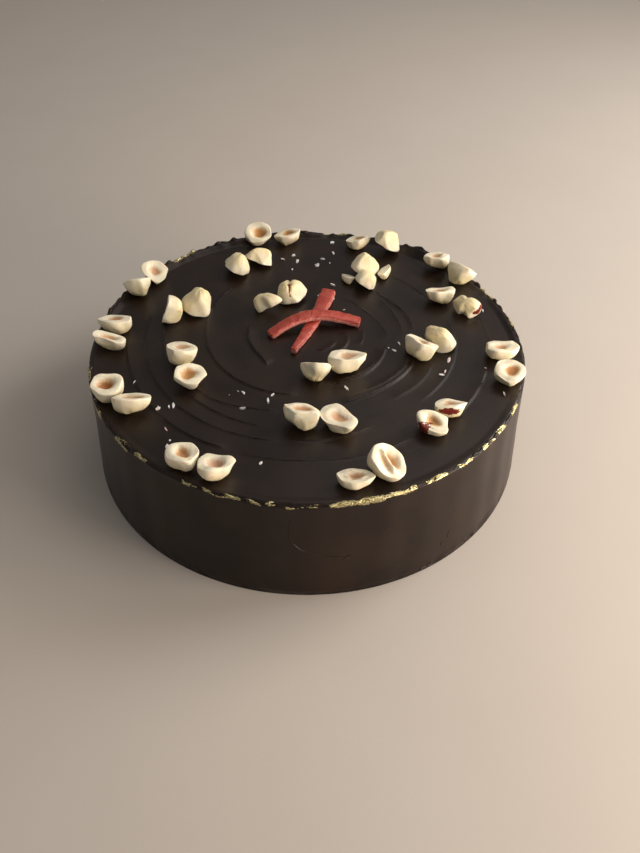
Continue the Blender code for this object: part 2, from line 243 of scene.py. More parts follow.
@dataclass(frozen=True)
class SpreadChocolate(Finish):
    """Dark chocolate ganache, spread soft with a palette knife and set.

    It is almost black, with a soft satin skin where the blade passed, fine drag lines along its path, a few
    pinholes, and edible gold lustre brushed on parts of the upper edge, speckled with painted glints.
    """

    name: str = "spread_dark_chocolate_ganache"
    roughness: float = 0.37
    ior: float = 1.36
    dark: str = "#190f0a"
    warm: str = "#23160e"
    gold: str = "#a39564"
    # painted glints: the pale colour that speckles the gold lustre
    gold_painted_glint: str = "#d9d0a8"
    drag_mm: float = 1.6
    pinholes_mm: float = 7.0  # from one to the next

    def pattern(self, add: Adder) -> Pattern:
        """Adds the chocolate's mottling, drag lines and pinholes, and the gold on its edge with its painted
        glints.

        Args:
            add: Adds a node to the material.

        Returns:
            Sockets by the shader's input that they feed, and heights with their depths in mm.
        """
        streak = add(Step.MARK, attribute_name="streak", out="Vector")
        drag = add(Step.NOISE, streak, 1 / self.drag_mm, 5, NOISE_ROUGHNESS)
        drag = add(Step.TIMES, drag, add(Step.MARK, attribute_name="knife", out="Fac"))
        chocolate = add(Step.BLEND, add(Step.WINDOW, lumps(add, 26, 4), 0.35, 0.68), self.dark, self.warm)
        # gold lustre speckled with a pale colour as painted glints
        gold = add(Step.BLEND, add(Step.WINDOW, lumps(add, 0.8), 0.4, 0.68), self.gold, self.gold_painted_glint)
        leaf = self.gold_share(add)
        cells = add(Step.CELLS, add(Step.PLACE, out="Object"), 1 / (self.pinholes_mm * MM))
        feeds = {
            "Base Color": add(Step.BLEND, leaf, chocolate, gold),
            "Metallic": add(Step.TIMES, leaf, 0.9),
            "Roughness": add(Step.WINDOW, drag, 0.3, 0.72, self.roughness - 0.02, self.roughness + 0.05),
        }
        pinholes = add(Step.WINDOW, cells, 0.03, 0.09)
        wrinkles = add(Step.TIMES, lumps(add, 0.8, 2), leaf)
        return feeds, [(drag, 0.035), (lumps(add, 0.7, 2), 0.02), (pinholes, 0.10), (wrinkles, 0.35)]

    def gold_share(self, add: Adder) -> Socket:
        """Share of gold: the brushed mask, broken up by a noise so that its edge is torn.

        Args:
            add: Adds a node to the material.

        Returns:
            Socket of the share, from 0 to 1.
        """
        broken = add(Step.PLUS, lumps(add, 1.0, 4), lumps(add, 4.5, 2))
        broken = add(Step.TIMES, add(Step.LESS, broken, 1.0), 1.4)
        brushed = add(Step.MARK, attribute_name="lustre", out="Fac")
        leaf = add(Step.WINDOW, add(Step.PLUS, brushed, broken), 0.47, 0.56)
        return add(Step.TIMES, leaf, add(Step.WINDOW, brushed, 0.08, 0.25))


@dataclass(frozen=True)
class BlanchedHazelnut(Finish):
    """Blanched hazelnut kernel, split in two.

    It is cream, more yellow on the dome, waxy and slightly translucent, with a tan hollow that is darkest at
    its floor, and scraps of red-brown skin where the blanching missed it.
    """

    name: str = "blanched_hazelnut_kernel"
    roughness: float = 0.46
    ior: float = 1.46
    glow: float = 0.22
    glow_reach: tuple[float, float, float] = (1.0, 0.6, 0.3)
    glow_mm: float = 1.6
    cream: str = "#ebe1c7"
    yellow: str = "#dfce9e"
    toasted: str = "#c39250"
    tan: str = "#c99a5c"
    brown: str = "#a5672c"
    pink: str = "#dcba9c"
    skin: str = "#6f2116"

    def pattern(self, add: Adder) -> Pattern:
        """Adds the kernel's cream and yellow, its hollow, its skin, and a fibrous relief.

        Args:
            add: Adds a node to the material.

        Returns:
            Sockets by the shader's input that they feed, and heights with their depths in mm.
        """
        names = ("dome", "toast", "pit", "hollow", "skin")
        dome, toast, pit, hollow, skin = (add(Step.MARK, attribute_name=name, out="Fac") for name in names)
        cloud, grain = lumps(add, 5), lumps(add, 0.9, 4)
        yellowing = add(Step.PLUS, add(Step.TIMES, dome, 0.55), add(Step.TIMES, cloud, 0.5))
        flesh = add(Step.BLEND, add(Step.WINDOW, yellowing, 0.15, 0.95), self.cream, self.yellow)
        patch = add(Step.TIMES, add(Step.WINDOW, lumps(add, 3.4, 4), 0.60, 0.80), 0.65)
        flesh = add(Step.BLEND, patch, flesh, self.toasted)
        floor = add(Step.BLEND, pit, add(Step.BLEND, toast, self.pink, self.tan), self.brown)
        torn = add(Step.PLUS, add(Step.LESS, grain, 0.5), add(Step.LESS, cloud, 0.5))
        ragged = add(Step.TIMES, torn, 0.7)
        colour = add(Step.BLEND, add(Step.WINDOW, add(Step.PLUS, hollow, ragged), 0.15, 0.9), flesh, floor)
        scrap = add(Step.WINDOW, add(Step.PLUS, skin, add(Step.TIMES, ragged, 1.4)), 0.44, 0.54)
        heights = [(lumps(add, 3.2), 0.28), (grain, 0.07)]
        return {"Base Color": add(Step.BLEND, scrap, colour, self.skin)}, heights


@dataclass(frozen=True)
class CandiedPeel(Finish):
    """Candied fruit peel, cut in strips and cooked in red syrup.

    The zest side is glossy and deep red, the cut sides are paler, pitted and dusted with sugar.
    """

    name: str = "candied_fruit_peel"
    roughness: float = 0.34
    ior: float = 1.46
    glow: float = 0.3
    glow_reach: tuple[float, float, float] = (1.0, 0.25, 0.18)
    glow_mm: float = 1.8
    zest: str = "#aa4a3c"
    deep: str = "#9b372b"
    pith: str = "#c5756a"
    sugar: str = "#e8c8be"

    def pattern(self, add: Adder) -> Pattern:
        """Adds the zest's mottling, the paler cut sides, the pits and the sugar.

        Args:
            add: Adds a node to the material.

        Returns:
            Sockets by the shader's input that they feed, and heights with their depths in mm.
        """
        zest = add(Step.BLEND, add(Step.WINDOW, lumps(add, 4), 0.35, 0.65), self.zest, self.deep)
        grain = lumps(add, 0.55)
        side = add(Step.MARK, attribute_name="cut_side", out="Fac")
        edge = add(Step.PLUS, side, add(Step.TIMES, add(Step.LESS, grain, 0.5), 0.6))
        body = add(Step.BLEND, add(Step.WINDOW, edge, 0.2, 0.85), zest, self.pith)
        speck = add(Step.TIMES, add(Step.WINDOW, grain, 0.58, 0.66), side)
        pits = add(Step.TIMES, grain, side)
        heights = [(lumps(add, 2.6), 0.18), (pits, 0.25), (lumps(add, 0.35, 2), 0.03)]
        return {"Base Color": add(Step.BLEND, speck, body, self.sugar)}, heights


@dataclass(frozen=True)
class SeaSalt(Finish):
    """Flaked salt: thin white crystals, hard and a little see-through, with bright edges."""

    name: str = "flaked_sea_salt"
    roughness: float = 0.28
    ior: float = 1.54
    glow: float = 0.25
    glow_mm: float = 0.8
    white: str = "#e9e6e2"
    grey: str = "#b9b2ad"

    def pattern(self, add: Adder) -> Pattern:
        """Adds a faint clouding and the ripple of the crystal's layers."""
        cloud = add(Step.WINDOW, lumps(add, 1.2), 0.35, 0.7)
        return {"Base Color": add(Step.BLEND, cloud, self.white, self.grey)}, [(lumps(add, 0.5, 2), 0.06)]


@dataclass(frozen=True)
class BrokenChocolate(Finish):
    """Set chocolate where it broke: dull, and darker than the spread skin round it."""

    name: str = "broken_dark_chocolate"
    roughness: float = 0.6
    colour: str = "#140907"
    dusty: str = "#2c1714"

    def pattern(self, add: Adder) -> Pattern:
        """Adds a dusty mottling and a coarse grain."""
        grain = lumps(add, 0.6)
        return {"Base Color": add(Step.BLEND, grain, self.colour, self.dusty)}, [(grain, 0.2)]


@dataclass(frozen=True)
class StudioPaper(Finish):
    """Plain pale background paper, matte."""

    name: str = "matte_background_paper"
    roughness: float = 0.95
    pale: str = "#bdb4aa"
    shade: str = "#b8aea4"

    def pattern(self, add: Adder) -> Pattern:
        """Adds the paper's faint unevenness."""
        colour = add(Step.BLEND, lumps(add, 60), self.pale, self.shade)
        return {"Base Color": colour}, [(lumps(add, 1.5, 2), 0.02)]


def surface_mesh(name: str, points: Array, faces: Array, marks: dict[str, Array] | None = None) -> Mesh:
    """Makes a smooth-shaded mesh from arrays.

    Args:
        name: Name of the mesh.
        points: Places, one row of x, y, z for each vertex.
        faces: Rows of three or four vertex numbers.
        marks: Values that the vertices carry, one number or one vector each, by name.

    Returns:
        The mesh.
    """
    mesh = bpy.data.meshes.new(name)
    sides = faces.shape[1]
    mesh.vertices.add(len(points))
    mesh.vertices.foreach_set("co", np.ascontiguousarray(points, np.float32).ravel())
    mesh.loops.add(faces.size)
    mesh.loops.foreach_set("vertex_index", np.ascontiguousarray(faces, np.int32).ravel())
    mesh.polygons.add(len(faces))
    mesh.polygons.foreach_set("loop_start", np.arange(0, faces.size, sides, dtype=np.int32))
    mesh.update(calc_edges=True)
    mesh.polygons.foreach_set("use_smooth", np.ones(len(faces), bool))
    for mark, values in (marks or {}).items():
        kind, key = ("FLOAT_VECTOR", "vector") if values.ndim == 2 else ("FLOAT", "value")
        layer = mesh.attributes.new(mark, kind, "POINT")
        layer.data.foreach_set(key, np.ascontiguousarray(values, np.float32).ravel())
    mesh.validate()
    return mesh


def closed_rings(rows: int, around: int) -> Array:
    """Triangles of a closed skin: a first pole, rows of points round it, and a last pole.

    Vertex 0 is the first pole, the rows follow, and the last vertex is the last pole. With rings that run
    anticlockwise seen from the first pole's side, the faces point outwards.

    Args:
        rows: Number of rings.
        around: Points in a ring.

    Returns:
        Rows of three vertex numbers.
    """
    here = np.arange(around)
    after = (here + 1) % around
    ring = 1 + np.arange(rows - 1)[:, None] * around
    a, b = ring + here, ring + after
    c, d = b + around, a + around
    bands = np.concatenate([np.stack([a, d, c], -1).reshape(-1, 3), np.stack([a, c, b], -1).reshape(-1, 3)])
    last = 1 + rows * around
    first_fan = np.stack([np.zeros(around, int), 1 + here, 1 + after], -1)
    last_fan = np.stack([np.full(around, last), last - around + after, last - around + here], -1)
    return np.concatenate([first_fan, bands, last_fan])


def with_poles(first: Any, rings: Array, last: Any) -> Array:
    """Numbers or vectors of a closed skin's vertices: the first pole's, the rings' and the last pole's."""
    width = np.shape(first)
    return np.concatenate([np.reshape(part, (-1, *width)) for part in (first, rings, last)])


def joined(parts: Iterable[Part]) -> Part:
    """Joins parts into one list of points and one of triangles.

    Args:
        parts: Each part's points and triangles.

    Returns:
        All the points and all the triangles.
    """
    points, faces, count = [], [], 0
    for some, theirs in parts:
        points.append(some)
        faces.append(theirs + count)
        count += len(some)
    return np.concatenate(points), np.concatenate(faces)


def add_piece(mesh: Mesh, finish: Material, slot: str, *stands_for: str) -> bpy.types.Object:
    """Adds a mesh to the scene as a piece that rides on the torte.

    Args:
        mesh: The piece's mesh, already in place.
        finish: Its material.
        slot: Not used.
        stands_for: Solids of the plain model that it replaces.

    Returns:
        The new object.
    """
    piece = bpy.data.objects.new(mesh.name, mesh)
    mesh.materials.append(finish)
    bpy.context.scene.collection.objects.link(piece)
    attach(piece, "root")
    if stands_for:
        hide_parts(*stands_for)
    LOG.info("%s: %d faces", mesh.name, len(mesh.polygons))
    return piece


@dataclass(frozen=True)
class Dab:
    """A stretch of gold lustre along the upper edge."""

    start: float  # degrees
    stop: float  # degrees
    width: float  # mm
    strength: float
    lean: float = 0.0  # mm, how far down the side its middle sits


@dataclass(frozen=True)
class Stroke:
    """One sweep of the palette knife, as the lip that it left behind."""

    rise: float  # mm, height of the lip
    places: tuple[tuple[float, float], ...]  # bearing in degrees and reach in mm, along the lip
    ramp: float = 7.0  # mm, breadth of the slow rise up to the lip
    fade: float = 9.0  # degrees over which each end dies out
    centre: tuple[float, float] = (0.0, 0.0)  # mm, what the bearings and reaches are taken from
    drop: float = 1.0  # mm, breadth of the fall outside the lip

    def unrolled(self, bearing: Array) -> Array:
        """Bearings in degrees, brought within half a turn of the stroke's middle."""
        middle = (self.places[0][0] + self.places[-1][0]) / 2
        return (bearing - middle + 180) % 360 - 180 + middle

    def lip(self, bearing: Array) -> Array:
        """Reach of the lip in millimetres: a cubic curve fitted to its places, level beyond its ends.

        Args:
            bearing: Degrees.

        Returns:
            The reach at each bearing.
        """
        bearings, reaches = zip(*self.places)
        curve = np.polynomial.Polynomial.fit(bearings, reaches, min(3, len(bearings) - 1))
        return curve(np.clip(self.unrolled(bearing), bearings[0], bearings[-1]))

    def weight(self, bearing: Array) -> Array:
        """Share of the full height at these bearings: 1 along the stroke, dying out at both ends."""
        return plateau(self.unrolled(bearing), self.places[0][0], self.places[-1][0], self.fade)

    def height(self, x: Array, y: Array) -> Array:
        """Height in millimetres that the stroke adds at these places, which are in millimetres.

        Args:
            x: Places in mm.
            y: Places in mm.

        Returns:
            The added height at each place.
        """
        dx, dy = x - self.centre[0], y - self.centre[1]
        bearing = np.degrees(np.arctan2(dy, dx))
        off = np.hypot(dx, dy) - self.lip(bearing)
        rise = np.clip(1 + off / self.ramp, 0, 1) ** 1.7 * (1 - smooth_step(0.0, self.drop, off))
        return self.rise * self.weight(bearing) * rise


EYE = (7.5, 6.0)
STROKES = (
    Stroke(0.45, ((252, 10.6), (277, 9.2), (303, 7.6), (330, 6.2)), 4, 12, EYE),
    Stroke(0.60, ((282, 13.6), (301, 12.9), (328, 12.2), (355, 11.2), (388, 10.4)), 5, 14, EYE),
    Stroke(0.35, ((60, 9.0), (110, 9.6), (160, 10.5), (215, 12.5)), 5, 20, EYE),
    Stroke(0.80, ((150, 31.0), (165, 28.8), (185, 25.6), (205, 22.8), (222, 23.4)), 6),
    Stroke(0.40, ((358, 24.2), (372, 26.4), (390, 29.4)), 4),
    Stroke(0.70, ((290, 30.6), (310, 32.6), (328, 34.1), (345, 35.2), (362, 36.4)), 6),
    Stroke(0.35, ((296, 28.9), (312, 31.0), (326, 32.6), (340, 33.4)), 2),
    Stroke(0.55, ((128, 62.0), (150, 51.8), (172, 49.6), (200, 43.6), (230, 37.6), (266, 35.3)), 9),
    Stroke(0.40, ((4, 37.6), (20, 38.4), (36, 38.4), (52, 39.9), (68, 42.0)), 5),
    Stroke(0.80, ((290, 44.0), (305, 44.4), (320, 45.4), (335, 48.5), (350, 50.3)), 7),
    Stroke(0.45, ((296, 42.7), (318, 43.2), (333, 45.8), (352, 47.8)), 2),
    Stroke(0.45, ((6, 45.6), (24, 47.4), (38, 49.7), (52, 53.6)), 5),
    Stroke(0.55, ((10, 50.6), (28, 53.6), (46, 54.4), (60, 57.0)), 3),
    Stroke(0.40, ((205, 56.5), (226, 55.5), (240, 51.0), (258, 48.3)), 5),
    Stroke(0.35, ((312, 53.0), (324, 54.9), (336, 57.2), (350, 58.6)), 5),
    Stroke(0.40, ((165, 69.0), (180, 66.5), (212, 62.8), (236, 59.8), (258, 58.0)), 6),
    Stroke(0.40, ((262, 64.4), (280, 63.7), (300, 61.2)), 6),
    Stroke(0.40, ((158, 80.0), (180, 74.5), (200, 72.2), (222, 70.5), (238, 66.5), (262, 65.4)), 7),
    Stroke(0.45, ((320, 62.5), (336, 65.3), (350, 67.2), (366, 69.5), (382, 69.4)), 6),
    Stroke(0.30, ((30, 71.0), (46, 71.3), (58, 73.0)), 7),
    Stroke(0.60, ((176, 84.5), (200, 80.4), (218, 79.3), (233, 77.6), (247, 76.2)), 7, 6),
    Stroke(0.25, ((249, 76.8), (266, 76.0), (285, 76.0), (308, 75.6)), 6, 4),
    Stroke(0.50, ((318, 79.8), (332, 80.6), (345, 82.0), (354, 82.4)), 8),
    Stroke(0.35, ((352, 85.0), (365, 85.4), (378, 86.2)), 8),
)


@dataclass(frozen=True)
class Tear:
    """A stretch of the upper edge where the chocolate stands up in a thin torn lip."""

    start: float  # degrees
    stop: float  # degrees
    height: float  # mm
    seed: int


@dataclass
class Icing:
    """The iced cake: a closed skin from the top's centre over the rim and down to the base's centre."""

    level: float = 53 * MM
    rim: float = 100 * MM
    base: float = 102.5 * MM
    around: int = 500
    top_rows: int = 146
    bank_rows: int = 20
    side_rows: int = 26
    strokes: tuple[Stroke, ...] = STROKES
    bank_foot: float = 94 * MM  # reach where the edge bank begins
    crest: float = 98.4 * MM  # reach of its top
    bank: float = 0.35 * MM  # its height in front
    back_bank: float = 2.0 * MM  # what is added to it at the back
    edge_drop: float = 0.9 * MM  # fall from the crest to the rim
    swirl_end: tuple[float, float] = (86 * MM, 96 * MM)  # reaches between which the strokes die out
    rim_jog: float = 0.20 * MM  # unevenness of the rim's circle
    jog_start: float = 92 * MM  # reach where it begins
    wave: float = 0.12 * MM  # slow unevenness of the top
    side_wave: float = 0.16 * MM  # the scraper's slow waves round the side
    side_band: float = 0.05 * MM  # and from top to foot
    ragged_foot: float = 0.35 * MM
    high_lump: float = 1.9 * MM  # single lumps on the bank at the back
    low_lump: float = 0.8 * MM
    widening: float = 1.4  # power by which the side widens towards its foot
    burr_sides: int = 6
    scraper_places: tuple[tuple[float, float], ...] = (
        (267.7, 46.2), (267.2, 34.0), (270.5, 26.8), (275.1, 23.9), (280.6, 21.1)
    )  # bearing in degrees and level in mm
    nicks: tuple[tuple[tuple[float, float], tuple[float, float], float], ...] = (
        ((299.1, 1.2), (301.2, 1.5), 1.3),
        ((301.4, 1.4), (303.1, 1.3), 1.5),
        ((303.3, 1.3), (305.3, 1.6), 1.1),
        ((306.7, 1.4), (307.8, 1.7), 1.3),
        ((309.1, 1.3), (311.1, 1.6), 1.2),
        ((313.8, 1.3), (314.5, 1.6), 1.1),
        ((307.8, 17.2), (307.2, 12.5), 0.5),
        ((305.8, 12.1), (305.1, 9.9), 0.5),
        ((317.4, 2.0), (316.5, 0.7), 0.6),
        ((314.4, 3.2), (313.7, 3.5), 0.5),
        ((279.3, 20.8), (281.2, 22.9), 0.5),
        ((273.3, 52.5), (273.8, 53.2), 0.6),
    )  # bearing and level of both ends, and breadth in mm
    tears: tuple[Tear, ...] = (
        Tear(299, 337, 0.9, 41),
        Tear(338, 374, 0.7, 42),
        Tear(16, 62, 1.7, 43),
        Tear(64, 96, 1.2, 44),
        Tear(112, 172, 1.5, 45),
        Tear(186, 232, 0.7, 46),
        Tear(240, 298, 0.4, 47),
    )
    dabs: tuple[Dab, ...] = (
        Dab(241, 246, 0.7, 0.7),
        Dab(246.5, 256, 0.9, 0.85),
        Dab(257.5, 264, 0.7, 0.75, 0.3),
        Dab(266, 274, 0.5, 0.66, 0.2),
        Dab(276, 283, 1.5, 1.1),
        Dab(282, 289, 1.9, 1.2),
        Dab(288, 296.5, 1.2, 1.0),
        Dab(299, 305, 1.0, 0.95, -0.6),
        Dab(308, 313, 0.6, 0.85, -0.2),
        Dab(317, 322, 0.9, 0.8),
        Dab(323.5, 328, 1.7, 1.0, -0.3),
        Dab(332, 337, 1.3, 0.95, 0.2),
        Dab(203, 210, 2.6, 1.15, 1.8),
        Dab(218, 224.5, 1.9, 1.1, 0.8),
        Dab(226, 231, 0.9, 0.75, 0.3),
        Dab(190, 196, 0.9, 0.75),
        Dab(128, 137, 2.6, 1.15, -0.3),
        Dab(78, 86, 1.2, 0.85),
        Dab(22, 29, 1.2, 0.8),
        Dab(8, 17, 0.8, 0.8),
    )

    def bank_rise(self, turn: Array) -> Array:
        """Height of the edge bank: low in front, higher and broken into lumps at the back.

        Args:
            turn: Bearings in radians.

        Returns:
            The height in metres at each bearing.
        """
        back = smooth_step(-0.25, 0.75, np.sin(turn))
        lumps = 0.5 * np.sin(7 * turn + 1.2) + 0.3 * np.sin(11 * turn + 0.4)
        torn = ripple(turn, (17, 29, 43, 58, 77, 101), 5) * (0.1 + back) * 0.25 * MM
        bearing = np.degrees(turn) % 360
        single = self.high_lump * bell(bearing, 53, 6)
        single = single + self.low_lump * (bell(bearing, 90, 4) + bell(bearing, 127, 7))
        return self.bank * (1 + 0.5 * lumps) + back * self.back_bank * (0.65 + 0.5 * lumps) + single + torn

    def top(self, x: Array, y: Array) -> Array:
        """Height of the chocolate inside the rim: the strokes, slow waves, the bank and its fall.

        Args:
            x: Places in metres.
            y: Places in metres.

        Returns:
            The height in metres at each place.
        """
        reach, turn = np.hypot(x, y), np.arctan2(y, x)
        strokes = sum(stroke.height(x / MM, y / MM) for stroke in self.strokes) * MM
        waves = self.wave * (np.sin(x * 95 + 1.3 * np.sin(y * 60)) + np.sin(y * 80 + 2 + np.sin(x * 70)))
        inside = 1 - smooth_step(*self.swirl_end, reach)
        rise = np.clip(self.bank_rise(turn), 0, None)
        bank = rise * smooth_step(self.bank_foot + 1.2 * MM - 0.6 * rise, self.crest, reach)
        drop = self.edge_drop * smooth_step(self.crest, self.rim, reach) ** 1.5
        return self.level + (strokes + waves) * inside + bank - drop

    def profile(self) -> tuple[Array, Array]:
        """Reach and level along the skin, from just off the top's centre to just off the base's centre.

        Returns:
            The reach and the level of each row of points, in metres.
        """
        top = np.linspace(0, self.bank_foot, self.top_rows + 1)[1:]
        bank = np.linspace(self.bank_foot, self.rim, self.bank_rows + 1)[1:]
        level = self.level * (1 - np.linspace(0, 1, self.side_rows + 1)[1:] ** 1.3)
        under = np.array([self.base * 0.995, self.base * 0.6])
        reach = np.concatenate([top, bank, self.side_reach(level), under])
        return reach, np.concatenate([np.full(len(top) + len(bank), self.level), level, np.zeros(2)])

    def side_reach(self, level: Array) -> Array:
        """Reach of the plain side: the rim's at the top, and widening by a power of the depth below it."""
        return self.rim + (self.base - self.rim) * (1 - level / self.level) ** self.widening

    def lustre(self, turn: Array, along: Array) -> Array:
        """Gold mask: for each dab a window of bearings times a bell across the edge, and the most of them.

        Args:
            turn: Bearing of each point in radians.
            along: How far in metres each point is past the edge, down the side, or inside it where negative.

        Returns:
            The mask, over 0.5 where gold lies.
        """
        bearing = np.degrees(turn) % 360
        mask = np.zeros_like(along)
        along = along - 0.4 * MM * ripple(turn, (23, 41, 67), 21)
        for dab in self.dabs:
            window = plateau(bearing, dab.start - 0.7, dab.stop + 0.7, 1.6)
            mask = np.maximum(mask, dab.strength * window * bell(along, dab.lean * MM, 0.75 * dab.width * MM))
        return mask

    def side_relief(self, turns: Array, levels: Array) -> Array:
        """Relief of the side in metres: slow waves left by the scraper, and a ragged foot.

        Args:
            turns: Bearings in radians.
            levels: Heights over the base in metres.

        Returns:
            How far the side stands out from its plain reach.
        """
        across = self.side_wave * ripple(turns, (3, 5, 8, 13), 3)
        down = self.side_band * np.sin(levels / MM * 0.22 + 2 * np.sin(turns * 3))
        foot = self.ragged_foot * smooth_step(5 * MM, 0, levels) * ripple(turns, (23, 41, 67, 97), 8)
        return across + down + foot

    def mesh(self) -> Mesh:
        """Computes the whole skin on a grid of turn and profile.

        Returns:
            The cake's mesh.
        """
        reach, level = self.profile()
        turns, reaches = np.meshgrid(whole_turn(self.around), reach)
        levels = np.repeat(level[:, None], self.around, 1)
        rows_on_top = self.top_rows + self.bank_rows
        on_side = (np.arange(len(reach)) >= rows_on_top)[:, None] & (levels > 0)
        jog = self.rim_jog * ripple(turns, (5, 9, 16, 27, 38), 3) - 0.12 * MM
        jog = smooth_step(self.jog_start, self.rim, reaches) * jog
        out = reaches + jog * (levels > 0) + np.where(on_side, self.side_relief(turns, levels), 0)
        x, y = out * np.cos(turns), out * np.sin(turns)
        z = levels.copy()
        z[:rows_on_top] = self.top(reaches * np.cos(turns), reaches * np.sin(turns))[:rows_on_top]
        brim = z[rows_on_top - 1]
        z[rows_on_top:-2] *= 1 + (brim / self.level - 1) * (levels[rows_on_top:-2] / self.level) ** 6
        centre_top = [0, 0, float(self.top(np.zeros(1), np.zeros(1))[0])]
        points = with_poles(centre_top, np.stack([x, y, z], -1), [0, 0, 0])
        along = np.where(levels < self.level, self.level - levels, reaches - self.rim)
        along[-2:] = 1.0
        drags = self.drag_count(reaches, levels, turns)
        streak = np.stack([0.8 * np.cos(turns), 0.8 * np.sin(turns), drags], -1)
        marks = {
            "lustre": with_poles(0, self.lustre(turns, along), 0),
            "knife": with_poles(1, np.where(on_side, 0.2, 1.0), 0),
            "streak": with_poles([0, 0, 0], streak, [0, 0, 0]),
        }
        return surface_mesh("iced_cake", points, closed_rings(len(reach), self.around), marks)

    def drag_count(self, reach: Array, level: Array, turn: Array) -> Array:
        """Millimetres across the blade's path: out from the swirl's eye on top, then down the side.

        Args:
            reach: Distances from the axis.
            level: Heights over the base.
            turn: Bearings in radians.

        Returns:
            The count of millimetres at each place.
        """
        lean = np.clip(1 - reach / self.rim, 0, 1)
        dx, dy = reach * np.cos(turn) - EYE[0] * MM * lean, reach * np.sin(turn) - EYE[1] * MM * lean
        return (np.hypot(dx, dy) + (self.level - level)) / MM

    def ribbon(self, spine: Array, across: Array, away: Array, half_width: Array, height: Array) -> Part:
        """A thin raised burr along a path on the chocolate, half sunk in it.

        Args:
            spine: Places along it.
            across: Directions across it, one unit vector for each place.
            away: Directions out of the chocolate, the same way.
            half_width: Half of its breadth at each place in metres.
            height: Height over the chocolate at each place in metres.

        Returns:
            Its points and its triangles.
        """
        turn = whole_turn(self.burr_sides) + 0.5
        rise = np.where(np.sin(turn) > 0, height[:, None] * np.sin(turn), 0.3 * MM * np.sin(turn))
        side = half_width[:, None] * np.cos(turn) + 0.25 * np.clip(rise, 0, None)
        points = spine[:, None] + side[..., None] * across[:, None] + rise[..., None] * away[:, None]
        points = with_poles(points[0].mean(0), points, points[-1].mean(0))
        return points, closed_rings(len(spine), self.burr_sides)

    def top_ribbon(self, path: Array, out: Array, half_width: Array, height: Array) -> Part:
        """A ribbon on the top along these places x and y, which leans outward.

        Args:
            path: Places x and y.
            out: Directions x and y across it.
            half_width: Half of its breadth at each place.
            height: Its height at each place.

        Returns:
            Its points and its triangles.
        """
        spine = np.column_stack([path, self.top(path[:, 0], path[:, 1])])
        flat = np.column_stack([out, np.zeros(len(path))])
        return self.ribbon(spine, flat, np.tile([0.0, 0.0, 1.0], (len(path), 1)), half_width, height)

    def side_ribbon(self, bearing: Array, level: Array, half_width: Array, height: Array) -> Part:
        """A ribbon on the side along these bearings in degrees and levels in mm.

        Args:
            bearing: Degrees.
            level: Millimetres over the base.
            half_width: Half of its breadth at each place in metres.
            height: How far it stands out at each place in metres.

        Returns:
            Its points and its triangles.
        """
        turn, level = np.radians(bearing), level * MM
        out = np.column_stack([outward(turn), np.zeros(len(turn))])
        reach = self.side_reach(level) + self.side_relief(turn, level)
        spine = out * reach[:, None] + level[:, None] * np.array([0, 0, 1.0])
        across = np.cross(out, unit(np.gradient(spine, axis=0)))
        return self.ribbon(spine, across, out, half_width, height)

    def scraper_mark(self) -> Part:
        """The thin curved ridge that the scraper left on the front of the side.

        Returns:
            Its points and its triangles.
        """
        knots = np.linspace(0, 1, len(self.scraper_places))
        share = np.linspace(0, 1, 60)
        bearing, level = (
            np.polynomial.Polynomial.fit(knots, part, 3)(share) for part in zip(*self.scraper_places)
        )
        size = (0.2 + 0.12 * ripple(share * 6, (3, 5, 8), 4)) * MM * np.sin(math.pi * share) ** 0.5
        return self.side_ribbon(bearing, level, 1.3 * size + 0.05 * MM, 0.4 * size + 0.01 * MM)

    def nick_slivers(self) -> Iterator[Part]:
        """The dark slivers on the side: each a short ribbon that swells and thins along its run.

        Yields:
            Each sliver's points and triangles.
        """
        share = np.linspace(0, 1, 14)
        for number, (start, end, breadth) in enumerate(self.nicks):
            places = np.array(start) + (np.array(end) - np.array(start)) * share[:, None]
            uneven = 1 + 0.35 * ripple(share * 5, (2, 5, 7), number)
            size = breadth / 2 * MM * np.sin(math.pi * share) ** 0.6 * uneven
            yield self.side_ribbon(*places.T, size + 0.02 * MM, 0.12 * size + 0.03 * MM)

    def lip_burrs(self) -> Iterator[Part]:
        """Thin burrs along the lips of the strokes, whose height changes slowly, so that they break off.

        Yields:
            Each burr's points and triangles.
        """
        for number, stroke in enumerate(self.strokes):
            first, last = stroke.places[0][0], stroke.places[-1][0]
            bearing = np.arange(first + 2, last - 2, 0.7 * 50 / max(stroke.places[0][1], 15))
            turn = np.radians(bearing)
            uneven = 0.5 + 0.5 * ripple(turn * 4, (3, 7, 11, 19), 60 + number)
            reach = (stroke.lip(bearing) + 0.12 * ripple(turn * 5, (4, 9, 14), 80 + number)) * MM
            weight = stroke.weight(bearing) * np.clip(uneven, 0.05, 1)
            size = (0.12 + 0.32 * stroke.rise * weight) * MM
            path = outward(turn) * reach[:, None] + np.array(stroke.centre) * MM
            yield self.top_ribbon(path, outward(turn), 0.9 * size, 0.8 * size * weight + 0.01 * MM)

    def edge_tears(self) -> Iterator[Part]:
        """Torn lips along the upper edge, whose height changes sharply from place to place.

        Yields:
            Each lip's points and triangles.
        """
        for tear in self.tears:
            bearing = np.arange(tear.start, tear.stop, 0.22)
            turn = np.radians(bearing)
            torn = np.clip(0.4 + 0.5 * ripple(turn * 6, (3, 5, 8, 13, 21), tear.seed), 0.02, 1.2)
            torn = torn * plateau(bearing, tear.start, tear.stop, 3)
            reach = self.rim - 0.9 * MM + 0.35 * MM * ripple(turn * 6, (4, 11, 21), tear.seed + 9)
            height = (0.03 + 0.8 * tear.height * torn) * MM
            path, half_width = outward(turn) * reach[:, None], (0.35 + 0.6 * torn) * MM
            yield self.top_ribbon(path, outward(turn), half_width, height)

